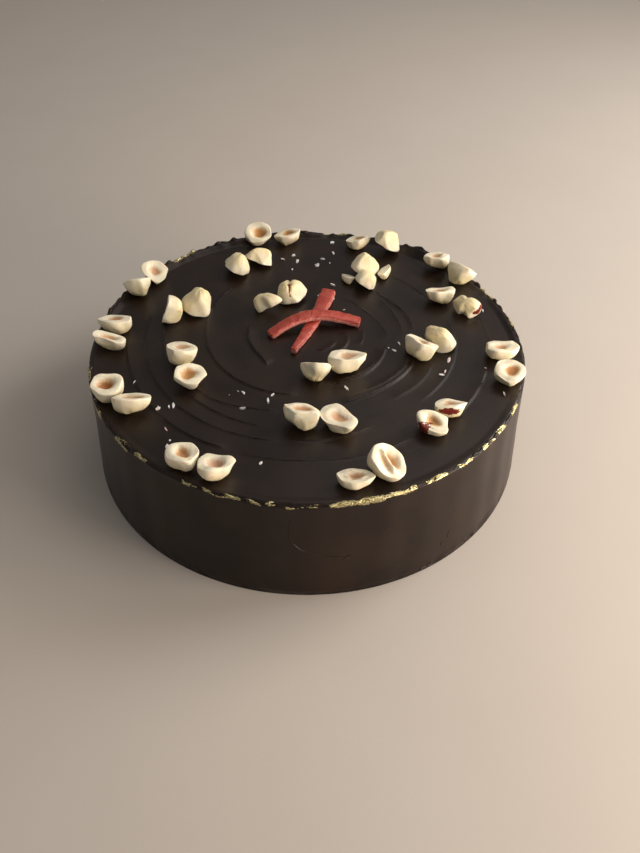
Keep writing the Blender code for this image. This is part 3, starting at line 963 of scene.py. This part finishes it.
    def burr_mesh(self) -> Mesh:
        """Joins all the burrs and torn lips, with the gold that lies on the edge.

        Returns:
            The mesh of all of them.
        """
        points, faces = joined([*self.lip_burrs(), *self.edge_tears(), self.scraper_mark()])
        inside = np.clip(np.hypot(points[:, 0], points[:, 1]) - self.rim, -15 * MM, 0)
        on_top = points[:, 2] > 0.95 * self.level
        marks = {
            "lustre": self.lustre(np.arctan2(points[:, 1], points[:, 0]), 0.4 * inside) * on_top,
            "knife": np.full(len(points), 0.3),
            "streak": points / MM,
        }
        return surface_mesh("icing_burrs", points, faces, marks)

    def rest(self, points: Array, sunk: float) -> Array:
        """Lifts or lowers a topping's points until the lowest is this deep in the chocolate."""
        clear = (points[:, 2] - self.top(points[:, 0], points[:, 1])).min()
        return points - [0, 0, clear + sunk]

    def build(self, finish: Material, broken: Material) -> None:
        """Adds the iced cake, its burrs and its nicks to the scene.

        Args:
            finish: Spread chocolate.
            broken: Broken chocolate, for the nicks.
        """
        add_piece(self.mesh(), finish, "icing", "cake")
        add_piece(self.burr_mesh(), finish, "icing")
        add_piece(surface_mesh("side_nicks", *joined(self.nick_slivers())), broken, "icing")


@dataclass(frozen=True)
class Kernel:
    """One hazelnut half: how it lies, its size, and what sets it apart.

    The plain model's node of the same name gives its place. On its own axes the tip points along +X and the
    cut face is up.
    """

    node: str
    length: float  # mm, tip to base
    breadth: float  # mm
    depth: float  # mm, cut face to the back of the dome
    tip: float  # degrees, the way the tip points
    lean: float  # degrees, cut face away from level
    lean_to: float  # degrees, the way the cut face is turned
    hollow: float = 1.0  # share of the full hollow
    toast: float = 0.5  # 0 pinkish to 1 tan
    pit: float = 0.3  # how brown its floor is
    broken: float = 0.0  # share of the length that is missing at the tip
    chips: int = 3  # small flats broken off it
    waist: float = 0.0  # pinch between two lobes
    skin: tuple[float, float] | None = None  # degrees round the outline, and height on the dome from 0 to 1
    slit: float = 0.0  # share of the full crease in the dome
    pip: float = 0.0  # mm, height of a ridge in the hollow


KERNELS = (
    Kernel("nut_rim_01", 14.5, 13.0, 6.5, 5, 32, 265, 1.0, 0.9, 0.6, chips=1),
    Kernel("nut_rim_02", 15.0, 10.5, 6.0, 15, 14, 150, 0.9, 0.9, 0.5, chips=2),
    Kernel("nut_rim_03", 14.0, 10.0, 5.5, 345, 20, 130, 0.7, 1.0, 0.4, chips=5),
    Kernel("nut_rim_04", 15.0, 12.5, 8.0, 190, 150, 200, 0.0, 0.8, 0.3, chips=3),
    Kernel("nut_rim_05", 14.0, 12.0, 6.5, 179, 18, 95, 0.5, 0.7, 0.2),
    Kernel("nut_rim_06", 15.0, 13.0, 9.0, 300, 42, 50, 0.5, 0.7, 0.2, chips=4, waist=0.12),
    Kernel("nut_rim_07", 16.0, 11.5, 6.0, 192, 8, 90, 0.5, 0.6, 0.3, chips=2),
    Kernel("nut_rim_08", 14.0, 12.5, 6.5, 355, 14, 265, 0.7, 0.9, 0.7, chips=2),
    Kernel("nut_rim_09", 16.5, 14.5, 8.0, 305, 24, 330, 1.25, 0.8, 0.5, pip=2.6, chips=2),
    Kernel("nut_rim_10", 14.5, 9.0, 5.0, 0, 6, 95, 1.0, 0.5, 0.3, pip=1.2, chips=3),
    Kernel("nut_rim_11", 15.5, 12.0, 6.8, 4, 10, 95, 1.1, 0.2, 0.3, chips=2),
    Kernel("nut_rim_12", 13.5, 13.0, 7.0, 66, 6, 90, 1.0, 0.6, 0.5, chips=2),
    Kernel("nut_rim_13", 17.0, 11.5, 7.0, 6, 26, 90, 1.0, 0.9, 0.6, chips=1),
    Kernel("nut_rim_14", 14.7, 14.0, 7.8, 154, 4, 300, 1.3, 1.0, 1.0, chips=1),
    Kernel("nut_rim_15", 17.0, 9.5, 5.5, 165, 16, 50, 0.9, 0.4, 0.3, chips=4),
    Kernel("nut_rim_16", 16.5, 11.0, 6.5, 172, 14, 95, 0.6, 0.5, 0.4, chips=2),
    Kernel("nut_rim_17", 13.4, 12.0, 8.0, 196, 34, 110, 0.4, 0.4, 0.2, chips=1),
    Kernel("nut_rim_18", 13.2, 12.0, 6.0, 158, 32, 290, 0.4, 0.2, 0.4, chips=5),
    Kernel("nut_mid_01", 15.5, 10.5, 7.0, 165, 150, 230, 0.0, 0.9, 0.5, chips=6, waist=0.28),
    Kernel("nut_mid_02", 14.5, 12.0, 8.5, 140, 150, 215, 0.0, 1.0, 0.7, chips=3),
    Kernel("nut_mid_03", 16.0, 13.0, 8.5, 5, 150, 200, 0.0, 0.8, 0.1, 0.08, 9),
    Kernel("nut_mid_04", 11.0, 11.0, 6.5, 285, 150, 200, 0.0, 0.5, 0.0, 0.08, 6),
    Kernel("nut_mid_05", 8.0, 5.0, 3.4, 140, 20, 60, 0.0, 0.5, 0.0, chips=4),
    Kernel("nut_mid_06", 12.5, 6.0, 4.0, 70, 30, 160, 0.0, 0.5, 0.0, chips=5),
    Kernel("nut_mid_07", 16.0, 10.5, 6.5, 188, 18, 95, 0.8, 0.8, 0.5, chips=2),
    Kernel("nut_mid_08", 14.5, 12.0, 7.0, 150, 146, 60, 0.0, 0.3, 0.2, chips=4, waist=0.34, skin=(180, 0.35)),
    Kernel("nut_mid_09", 17.5, 11.5, 8.5, 122, 166, 30, 0.0, 0.8, 0.1, chips=3),
    Kernel("nut_mid_10", 17.5, 11.5, 8.0, 125, 30, 55, 0.8, 0.7, 0.4, chips=3),
    Kernel("nut_mid_11", 14.8, 9.5, 6.0, 6, 22, 95, 0.8, 0.7, 0.3, chips=4, skin=(262, 0.4)),
    Kernel("nut_mid_12", 15.5, 11.0, 6.0, 155, 10, 290, 0.7, 0.9, 0.4, chips=2, skin=(65, 0.3)),
    Kernel("nut_mid_13", 17.0, 11.5, 7.0, 325, 6, 250, 0.5, 0.3, 0.4, chips=4),
    Kernel("nut_mid_14", 16.0, 12.5, 8.5, 158, 24, 70, 0.5, 0.5, 0.5, chips=4),
    Kernel("nut_mid_15", 14.8, 12.0, 6.0, 185, 10, 320, 1.1, 0.9, 0.4, chips=3),
    Kernel("nut_mid_16", 14.2, 13.0, 8.5, 2, 20, 75, 0.5, 0.3, 0.3, chips=4),
    Kernel("nut_mid_17", 14.2, 13.0, 8.0, 99, 72, 180, 0.8, 0.5, 0.3, chips=2),
    Kernel("nut_mid_18", 14.5, 15.5, 10.5, 165, 164, 200, 0.0, 0.5, 0.0, chips=1),
    Kernel("nut_eye_01", 15.0, 9.0, 6.5, 346, 150, 0, 0.0, 0.5, 0.0, chips=3, waist=0.4),
    Kernel("nut_eye_02", 15.5, 13.0, 8.5, 35, 168, 0, 0.0, 0.5, 0.0, chips=2, slit=1.0),
    Kernel("nut_eye_03", 14.0, 11.0, 7.5, 150, 48, 85, 0.4, 0.3, 0.1, chips=6),
    Kernel("nut_eye_04", 18.0, 13.0, 8.0, 20, 18, 85, 1.0, 0.3, 0.2, chips=5),
)


@dataclass
class HazelnutHalf:
    """One kernel as a closed skin, from the middle of its cut face over the rim to the back of its dome."""

    kernel: Kernel
    icing: Icing
    seed: int
    around: int = 56
    face_rows: int = 17
    rim_rows: int = 4
    dome_rows: int = 13
    taper: float = 0.15
    pointed: float = 0.045  # how far the tip stands out, as a share of the length
    face_share: float = 0.94  # share of the outline's reach where the cut face gives way to the rim's round
    rim_drop: float = 0.35 * MM
    dome_power: float = 0.74  # 1 is a plain ellipsoid, and less is fuller
    wave: float = 0.16 * MM  # unevenness of the cut face
    hollow_depth: float = 1.9 * MM
    lip: float = 0.15 * MM  # raised lip round the hollow
    kneaded: float = 0.42 * MM  # how far the slow waves shift a point
    slit_turn: float = 2.2  # radians round its own axis
    slit_depth: float = 1.2 * MM
    sunk: float = 0.35 * MM

    def outline(self, turn: Array) -> tuple[Array, Array]:
        """Outline of the cut face: an oval, narrower and pointed at the tip, with small lumps.

        Args:
            turn: Angles round the cut face.

        Returns:
            The outline's x and y at each angle.
        """
        kernel = self.kernel
        point = 1 + self.pointed * bell((turn + math.pi) % math.tau, math.pi, 0.35)
        lumps = 1 + 0.03 * ripple(turn, (2, 3, 5, 7), self.seed)
        x = kernel.length / 2 * np.cos(turn) * point / 1.03
        y = kernel.breadth / 2 * np.sin(turn) * (1 - self.taper * np.cos(turn))
        if kernel.waist:
            y = y * (1 - kernel.waist * bell(x, 0, 0.2 * kernel.length))
        return x * lumps * MM, y * lumps * MM

    def hollow(self, x: Array, y: Array) -> tuple[Array, Array]:
        """Depth of the hollow and its share of colour: a flat floor, sloping walls and a raised lip.

        Args:
            x: Places on the cut face.
            y: Places on the cut face.

        Returns:
            The level at each place, below 0 in the hollow, and the share of the hollow's colour.
        """
        kernel = self.kernel
        if not kernel.hollow:
            return np.zeros_like(x), np.zeros_like(x)
        size = 0.7 + 0.3 * kernel.hollow
        across = np.hypot(
            (x / MM - 0.02 * kernel.length) / (0.34 * kernel.length * size),
            (y / MM) / (0.33 * kernel.breadth * size),
        )
        across = across * (1 + 0.08 * ripple(np.arctan2(y, x), (2, 3), self.seed + 50))
        depth = -self.hollow_depth * kernel.hollow * (1 - smooth_step(0.15, 1.0, across))
        depth = depth + self.lip * bell(across, 1.2, 0.25)
        ridge = kernel.pip * MM * bell(y / MM, -0.6, 1.3) * (1 - smooth_step(0.55, 1.05, across))
        return depth + ridge, 1 - smooth_step(0.3, 1.15, across) - 0.7 * ridge / (3 * MM)

    def skin_points(self) -> tuple[Array, dict[str, Array]]:
        """Places on the kernel's own axes, and the marks that its finish reads.

        Each ring is the outline times a share: level over the cut face, a quarter round down at the rim, and
        then a dome whose share is a power of the cosine and whose depth is the sine of the same angle.

        Returns:
            The places, and the marks by name.
        """
        kernel = self.kernel
        turn = whole_turn(self.around)
        rim_x, rim_y = self.outline(turn)
        face = np.linspace(0, self.face_share, self.face_rows + 1)[1:]
        rim = np.linspace(0, math.pi / 2, self.rim_rows + 1)[1:]
        dome = np.linspace(0, math.pi / 2, self.dome_rows + 2)[1:-1]
        round_rim = self.face_share + (1 - self.face_share) * np.sin(rim)
        shares = np.concatenate([face, round_rim, np.cos(dome) ** self.dome_power])[:, None]
        oval = np.hypot(kernel.length * np.cos(turn), kernel.breadth * np.sin(turn)) / 2 * MM
        smooth = np.hypot(rim_x, rim_y) / oval
        even = 1 + (1 / smooth - 1) * 0.6 * (1 - shares**2) * (0 if kernel.waist else 1)
        x, y = shares * rim_x * even, shares * rim_y * even
        sunk, stain = self.hollow(x, y)
        drop = np.concatenate([0 * face, 1 - np.cos(rim), 0 * dome + 1])[:, None] * self.rim_drop
        on_face = (np.arange(len(shares)) < self.face_rows + self.rim_rows)[:, None]
        bulge = np.concatenate([0 * face, 0 * rim, np.sin(dome)])[:, None]
        uneven = 1 + 0.05 * shares * ripple(turn, (2, 3, 7), self.seed + 4)
        uneven = uneven * (1 - self.taper * np.cos(turn) * shares)
        wave = self.wave * (np.sin(x / MM * 0.6 + self.seed) + np.sin(y / MM * 0.8 + 2 * self.seed))
        z = np.where(on_face, sunk + wave * (1 - shares**4), 0) - drop
        z = z - (kernel.depth * MM - self.rim_drop) * bulge * uneven
        middle, middle_stain = (float(part[0]) for part in self.hollow(np.zeros(1), np.zeros(1)))
        points = with_poles([0, 0, middle], np.stack([x, y, z], -1), [0, 0, -kernel.depth * MM])
        marks = {
            "hollow": with_poles(middle_stain, np.where(on_face, stain, 0), 0),
            "pit": with_poles(kernel.pit, kernel.pit * np.where(on_face, stain**2, 0), 0),
            "toast": np.full(len(points), kernel.toast),
            "dome": with_poles(0, np.broadcast_to(bulge, x.shape), 1),
            "skin": with_poles(0, np.broadcast_to(self.skin_mark(turn, bulge), x.shape), 0),
        }
        return points, marks

    def skin_mark(self, turn: Array, bulge: Array) -> Array:
        """Mark of the scrap of red-brown skin, a bell round its place on the dome, or of a dark slit.

        Args:
            turn: Angles round the kernel.
            bulge: Height on the dome from 0 to 1, one for each ring.

        Returns:
            The mark, from 0 to 1.
        """
        mark = 0 * bulge
        if self.kernel.skin:
            bearing, height = self.kernel.skin
            off = (turn - math.radians(bearing) + math.pi) % math.tau - math.pi
            mark = bell(off, 0, 0.75) * bell(bulge, height, 0.38)
        if self.kernel.slit:
            across = np.abs(np.sin(turn - self.slit_turn)) * (1 - bulge**2) ** 0.5
            front = (np.cos(turn - self.slit_turn) > 0) | (bulge > 0.97)
            mark = np.maximum(mark, 0.75 * front * bell(across, 0, 0.07) * smooth_step(0.25, 0.5, bulge))
        return mark

    def chip(self, points: Array) -> Array:
        """Breaks small flats off the kernel: whatever lies beyond a drawn plane is pushed back on to it.

        Args:
            points: The whole kernel's points.

        Returns:
            The points with flats and kneading.
        """
        kernel, draw = self.kernel, random.Random(self.seed)
        half = np.array([kernel.length / 2, kernel.breadth / 2, kernel.depth]) * MM
        planes = []
        if kernel.broken:
            planes.append((Vector((1, 0.35, 0.25)).normalized(), half[0] * (1 - 2 * kernel.broken) * 0.92))
        for _ in range(kernel.chips):
            way, height = draw.uniform(0, math.tau), draw.uniform(-0.9, 0.35)
            normal = Vector((math.cos(way), math.sin(way), height)).normalized()
            reach = math.sqrt(sum((part * size) ** 2 for part, size in zip(normal, half)))
            planes.append((normal, reach * draw.uniform(0.80, 0.93)))
        for normal, reach in planes:
            way = np.array(normal)
            beyond = np.clip(points @ way - reach, 0, None)
            points = points - beyond[:, None] * way * 0.88
        return self.knead(points, draw)

    def knead(self, points: Array, draw: random.Random) -> Array:
        """Shifts every point by sine waves of its own place, so that no kernel is quite even.

        Args:
            points: The kernel's points.
            draw: Source of the waves.

        Returns:
            The shifted points.
        """
        for swing, low, high in ((self.kneaded, 0.25, 0.45), (0.25 * self.kneaded, 0.5, 0.9)):
            waves = [draw.choice((-1, 1)) * draw.uniform(low, high) for _ in range(9)]
            phases = np.array([draw.uniform(0, math.tau) for _ in range(3)])
            points = points + swing * np.sin(points / MM @ np.reshape(waves, (3, 3)) + phases) * (1, 1, 0.7)
        return points

    def slit_open(self, points: Array) -> Array:
        """Presses a narrow crease into the dome.

        Args:
            points: The kernel's points.

        Returns:
            The points with the crease.
        """
        if not self.kernel.slit:
            return points
        across = (-points[:, 0] * math.sin(self.slit_turn) + points[:, 1] * math.cos(self.slit_turn)) / MM
        lift = self.slit_depth * self.kernel.slit * bell(across, 0, 0.7)
        lift = lift * smooth_step(-2 * MM, -5 * MM, points[:, 2])
        return points + lift[:, None] * [0, 0, 1]

    def turned(self, points: Array) -> Array:
        """Turns the kernel from its own axes to the way it lies.

        Args:
            points: Points on its own axes.

        Returns:
            Points on the torte's axes.
        """
        kernel = self.kernel
        lean, to, tip = (math.radians(part) for part in (kernel.lean, kernel.lean_to, kernel.tip))
        up = Vector((math.sin(lean) * math.cos(to), math.sin(lean) * math.sin(to), math.cos(lean)))
        along = Vector((math.cos(tip), math.sin(tip), 0))
        along = (along - up * along.dot(up)).normalized()
        return points @ np.array([along, up.cross(along), up])

    def placed(self, points: Array) -> Array:
        """Moves the kernel to its node's middle and rests it on the chocolate, sunk a little.

        Args:
            points: The turned points.

        Returns:
            The points in place.
        """
        low, high = (np.array(corner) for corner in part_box(self.kernel.node))
        shift = (low + high) / 2 - (points.min(0) + points.max(0)) / 2
        return self.icing.rest(points + [shift[0], shift[1], 0], self.sunk)

    def build(self, finish: Material) -> None:
        """Adds the kernel to the scene in its node's place.

        Args:
            finish: Blanched hazelnut.
        """
        points, marks = self.skin_points()
        points = self.placed(self.turned(self.slit_open(self.chip(points))))
        rows = self.face_rows + self.rim_rows + self.dome_rows
        mesh = surface_mesh(self.kernel.node + "_kernel", points, closed_rings(rows, self.around), marks)
        add_piece(mesh, finish, "hazelnut", self.kernel.node)


@dataclass
class PeelStrip:
    """A strip of candied peel carried along its path, with a rounded oblong section.

    The section is the cosine and the sine of the turn, each raised to a power below 1 and keeping its sign.
    """

    node: str
    start: tuple[float, float]  # mm
    end: tuple[float, float]  # mm
    bow: float  # mm, sideways at the middle
    arch: float  # mm, lift where it crosses the other
    arch_at: float  # share of the length at that place
    curl: float  # mm, lift of the far end
    breadths: tuple[float, float, float]  # mm, at the start, middle and end
    seed: int
    thick: float = 3.2  # mm
    sunk: float = 0.3 * MM
    squareness: tuple[float, float] = (0.34, 0.4)  # powers of the section's cosine and sine; 1 is an oval
    around: int = 32
    stations: int = 150
    cap: float = 0.016  # share of the length over which an end rounds off

    def centre(self, share: Array) -> Array:
        """Middle of the strip's section at these shares of its length, in millimetres over a level plane.

        The plan is the straight line between the ends, bowed to its left by a half sine wave. The lift is a
        quarter cosine wave on each side of the crossing, plus the end's curl, which grows as the share cubed.

        Args:
            share: Shares of the length.

        Returns:
            Rows of x, y and lift.
        """
        start, end = np.array(self.start), np.array(self.end)
        line = end - start
        left = np.array([-line[1], line[0]]) / np.hypot(*line)
        flat = start + line * share[:, None] + left * (self.bow * np.sin(math.pi * share))[:, None]
        span = np.where(share > self.arch_at, 1 - self.arch_at, self.arch_at)
        lift = self.arch * np.cos(math.pi / 2 * (share - self.arch_at) / span) + self.curl * share**3
        return np.column_stack([flat, lift])

    def breadth(self, share: Array) -> Array:
        """Breadth along the strip: a smooth run through its three breadths, with small uneven cuts.

        Args:
            share: Shares of the length.

        Returns:
            The breadth in millimetres at each share.
        """
        first, middle, last = self.breadths
        width = np.where(
            share < 0.5,
            first + (middle - first) * smooth_step(0, 0.5, share),
            middle + (last - middle) * smooth_step(0.5, 1, share),
        )
        return width * (1 + 0.05 * ripple(share * 4, (2, 3, 5, 9), self.seed))

    def mesh(self, icing: Icing) -> Mesh:
        """Computes the strip on a grid of length and section, and rests it on the chocolate.

        Args:
            icing: What it lies on.

        Returns:
            The strip's mesh.
        """
        share = np.linspace(0.002, 0.998, self.stations)
        path = self.centre(share)
        ahead = unit(np.gradient(path, axis=0))
        side = unit(np.column_stack([-ahead[:, 1], ahead[:, 0], 0 * share]))
        up = np.cross(ahead, side)
        ends = np.minimum(share, 1 - share) / self.cap
        cap = np.sqrt(1 - (1 - np.clip(ends, 0.02, 1)) ** 2)
        turn = whole_turn(self.around)
        flat = np.sign(np.cos(turn)) * np.abs(np.cos(turn)) ** self.squareness[0]
        high = np.sign(np.sin(turn)) * np.abs(np.sin(turn)) ** self.squareness[1]
        half = (self.breadth(share) / 2 * cap)[:, None]
        rough = 1 + 0.035 * ripple(turn[None, :] + 26 * share[:, None], (2, 3, 5, 8), self.seed + 3)
        thick = (self.thick / 2 * (0.55 + 0.45 * cap))[:, None] * (1 - 0.12 * np.abs(flat) ** 3)
        across, rise = half * flat * rough, thick * high * rough
        rings = (path[:, None] + across[..., None] * side[:, None] + rise[..., None] * up[:, None]) * MM
        points = icing.rest(with_poles(rings[0].mean(0), rings, rings[-1].mean(0)), self.sunk)
        cut = smooth_step(0.25, 0.75, 1 - high) * (1 - 0.3 * (high < -0.5))
        marks = {"cut_side": with_poles(1, np.broadcast_to(cut, rise.shape), 1)}
        faces = closed_rings(self.stations, self.around)[:, ::-1]
        return surface_mesh(self.node + "_strip", points, faces, marks)

    def build(self, icing: Icing, finish: Material) -> None:
        """Adds the strip to the scene in its node's place."""
        add_piece(self.mesh(icing), finish, "peel", self.node)


@dataclass(frozen=True)
class Cluster:
    """A few white flakes scattered round one place."""

    bearing: float  # degrees
    reach: float  # mm
    count: int
    spread: float  # mm

    def middle(self) -> Array:
        """The cluster's middle, x and y in metres."""
        return polar(self.bearing, self.reach * MM)


@dataclass
class Flakes:
    """Thin broken crystals on the chocolate: those of the plain model, and finer ones among them."""

    clusters: tuple[Cluster, ...] = (
        Cluster(96, 77, 4, 8),
        Cluster(85, 73, 3, 5),
        Cluster(80, 85, 2, 7),
        Cluster(73, 46, 3, 8),
        Cluster(32, 88, 2, 6),
        Cluster(19, 90, 1, 2),
        Cluster(359, 39, 2, 4),
        Cluster(347, 68, 3, 7),
        Cluster(339, 93, 1, 1),
        Cluster(299, 35, 1, 1),
        Cluster(258, 78, 1, 2),
        Cluster(243, 46, 4, 7),
        Cluster(229, 84, 2, 6),
        Cluster(217, 75, 3, 4),
        Cluster(201, 81, 1, 1),
    )
    seed: int = 11
    corners: int = 7
    length: float = 1.5 * MM
    fine_length: float = 0.6 * MM
    last_reach: float = 96.5 * MM  # further out they would fall off

    def places(self) -> Iterator[tuple[Array, float]]:
        """Each flake's place and size: a draw round its cluster's middle.

        Yields:
            Each flake's middle, x and y, and half of its length.
        """
        draw = random.Random(self.seed)
        for cluster in self.clusters:
            for _ in range(cluster.count):
                shift = np.array([draw.uniform(-1, 1), draw.uniform(-1, 1)]) * cluster.spread * MM
                draw.uniform(0, math.pi), draw.uniform(-0.3, 0.3)  # the plain model's turn and tilt
                yield cluster.middle() + shift, self.length * draw.uniform(0.7, 1.25)
        for cluster in self.clusters:
            for _ in range(cluster.count // 2):
                shift = np.array([draw.gauss(0, 1), draw.gauss(0, 1)]) * cluster.spread * MM
                yield cluster.middle() + shift, self.fine_length * draw.uniform(0.6, 1.4)

    def slab(self, place: Array, size: float, icing: Icing, draw: random.Random) -> Part:
        """One flake: two rings of corners with drawn reaches, and a pole above and below.

        Args:
            place: Middle, x and y.
            size: Half of its length.
            icing: What it lies on.
            draw: Source of its shape.

        Returns:
            Its points and its triangles.
        """
        turn = whole_turn(self.corners)
        reach = size * np.array([draw.uniform(0.65, 1.15) for _ in turn])
        slim, tilt, way = draw.uniform(0.2, 0.6), draw.uniform(-0.35, 0.35), draw.uniform(0, math.tau)
        ring = outward(turn) * reach[:, None] * [1, slim]
        high = 0.32 * size
        levels = (ring * 0.9, high), (ring, -high)
        rings = np.array([np.column_stack([flat, 0 * turn + level]) for flat, level in levels])
        turned = np.array(Matrix.Rotation(way, 3, "Z") @ Matrix.Rotation(tilt, 3, "X"))
        points = with_poles([0, 0, high], rings, [0, 0, -high]) @ turned.T
        height = float(icing.top(place[:1], place[1:])[0])
        return points + [place[0], place[1], height + 0.45 * high], closed_rings(2, self.corners)

    def slabs(self, icing: Icing) -> Iterator[Part]:
        """All the flakes but those near the edge and those that a topping covers.

        Args:
            icing: What they lie on.

        Yields:
            Each flake's points and triangles.
        """
        draw = random.Random(self.seed + 1)
        covered = [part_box(node) for node in (*(kernel.node for kernel in KERNELS), "peel_over")]
        for place, size in self.places():
            x, y = place
            hidden = any(
                low.x - size < x < high.x + size and low.y - size < y < high.y + size for low, high in covered
            )
            if not hidden and math.hypot(x, y) <= self.last_reach:
                yield self.slab(place, size, icing, draw)

    def build(self, icing: Icing, finish: Material) -> None:
        """Adds all the flakes as one piece, with flat faces.

        Args:
            icing: What they lie on.
            finish: Flaked salt.
        """
        mesh = surface_mesh("salt_flakes", *joined(self.slabs(icing)))
        mesh.polygons.foreach_set("use_smooth", np.zeros(len(mesh.polygons), bool))
        add_piece(mesh, finish, "icing")


@dataclass(frozen=True)
class Lamp:
    """A square soft light that faces the torte."""

    name: str
    bearing: float  # degrees
    rise: float  # degrees above the floor
    away: float  # metres
    size: float  # metres
    power: float  # watts
    hue: str


@dataclass
class Studio:
    """Floor, lights and camera. The camera stands where the reference view was taken."""

    lamps: tuple[Lamp, ...] = (
        Lamp("window_key", 20, 34, 0.8, 0.42, 4.5, "#fffaf4"),
        Lamp("front_right", 325, 42, 0.9, 0.5, 1.3, "#fff6ec"),
        Lamp("low_right", 333, 9, 0.55, 0.3, 4.8, "#ffeedd"),
        Lamp("high_back", 62, 58, 1.2, 0.7, 1.8, "#fff4ea"),
    )
    aim: float = 0.04  # metres above the floor, what the lamps face
    focal_px: float = 850.0
    long_side_px: float = 853.0
    sensor_mm: float = 36.0
    place: tuple[float, float, float] = (0.0063, -0.3150, 0.2958)
    pitch: float = 0.752  # radians down
    roll: float = 0.012  # radians
    ambient: str = "#eceae8"
    ambient_strength: float = 0.33

    def floor(self, finish: Material) -> None:
        """Adds a wide sheet of paper that rises smoothly behind the torte.

        Args:
            finish: Background paper.
        """
        y, x = np.meshgrid(np.linspace(-3, 3, 61), np.linspace(-3, 3, 31), indexing="ij")
        z = -0.2 * MM + 1.2 * smooth_step(1.2, 3.0, y)
        index = np.arange(y.size).reshape(y.shape)
        quads = np.stack([index[:-1, :-1], index[:-1, 1:], index[1:, 1:], index[1:, :-1]], -1).reshape(-1, 4)
        mesh = surface_mesh("paper_floor", np.stack([x, y, z], -1).reshape(-1, 3), quads)
        mesh.materials.append(finish)
        floor = bpy.data.objects.new("paper_floor", mesh)
        bpy.context.scene.collection.objects.link(floor)

    def lights(self) -> None:
        """Hangs each lamp at its bearing and rise, facing the torte, and sets a dim pale surround."""
        for lamp in self.lamps:
            light = bpy.data.lights.new(lamp.name, "AREA")
            light.size, light.energy, light.color = lamp.size, lamp.power, linear(lamp.hue)[:3]
            holder = bpy.data.objects.new(lamp.name, light)
            rise = math.radians(lamp.rise)
            holder.location = (*polar(lamp.bearing, lamp.away * math.cos(rise)), lamp.away * math.sin(rise))
            facing = Vector((0, 0, self.aim)) - holder.location
            holder.rotation_euler = facing.to_track_quat("-Z", "Y").to_euler()
            bpy.context.scene.collection.objects.link(holder)
        world = bpy.data.worlds.new("pale_surround")
        world.use_nodes = True
        sky = world.node_tree.nodes["Background"]
        sky.inputs["Color"].default_value = linear(self.ambient)
        sky.inputs["Strength"].default_value = self.ambient_strength
        bpy.context.scene.world = world

    def camera(self) -> None:
        """Adds the camera: its axes from the pitch and the roll, its lens from the focal length in pixels."""
        eye = bpy.data.cameras.new("view")
        eye.sensor_width = self.sensor_mm
        eye.lens = self.focal_px / self.long_side_px * self.sensor_mm
        eye.clip_start = 0.01
        right = Vector((1, 0, 0))
        ahead = Vector((0, math.cos(self.pitch), -math.sin(self.pitch)))
        up = right.cross(ahead)
        rolled_right = right * math.cos(self.roll) + up * math.sin(self.roll)
        rolled_up = up * math.cos(self.roll) - right * math.sin(self.roll)
        turned = Matrix((rolled_right, rolled_up, -ahead)).transposed().to_4x4()
        holder = bpy.data.objects.new("view", eye)
        holder.matrix_world = Matrix.Translation(self.place) @ turned
        bpy.context.scene.collection.objects.link(holder)
        bpy.context.scene.camera = holder

    def build(self, finish: Material) -> None:
        """Sets up the whole studio.

        Args:
            finish: Background paper.
        """
        self.floor(finish)
        self.lights()
        self.camera()
        bpy.context.scene.view_settings.view_transform = "Standard"


PEELS = (
    PeelStrip("peel_under", (-6.5, -7), (10, 40.5), -1.0, 0.0, 0.5, 1.2, (3.0, 5.8, 7.2), 21),
    PeelStrip("peel_over", (-18, 5.5), (25, 16.5), 5.5, 4.2, 0.45, 0.0, (5.2, 6.0, 6.0), 34),
)


def main() -> None:
    """Loads the frame and builds every part of the torte round it."""
    logging.basicConfig(level=logging.INFO, format="%(name)s %(message)s")
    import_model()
    icing = Icing()
    icing.build(SpreadChocolate().make(), BrokenChocolate().make())
    hazelnut = BlanchedHazelnut().make()
    for number, kernel in enumerate(KERNELS):
        HazelnutHalf(kernel, icing, 100 + number).build(hazelnut)
    candied = CandiedPeel().make()
    for strip in PEELS:
        strip.build(icing, candied)
    Flakes().build(icing, SeaSalt().make())
    Studio().build(StudioPaper().make())


if __name__ == "__main__":
    main()
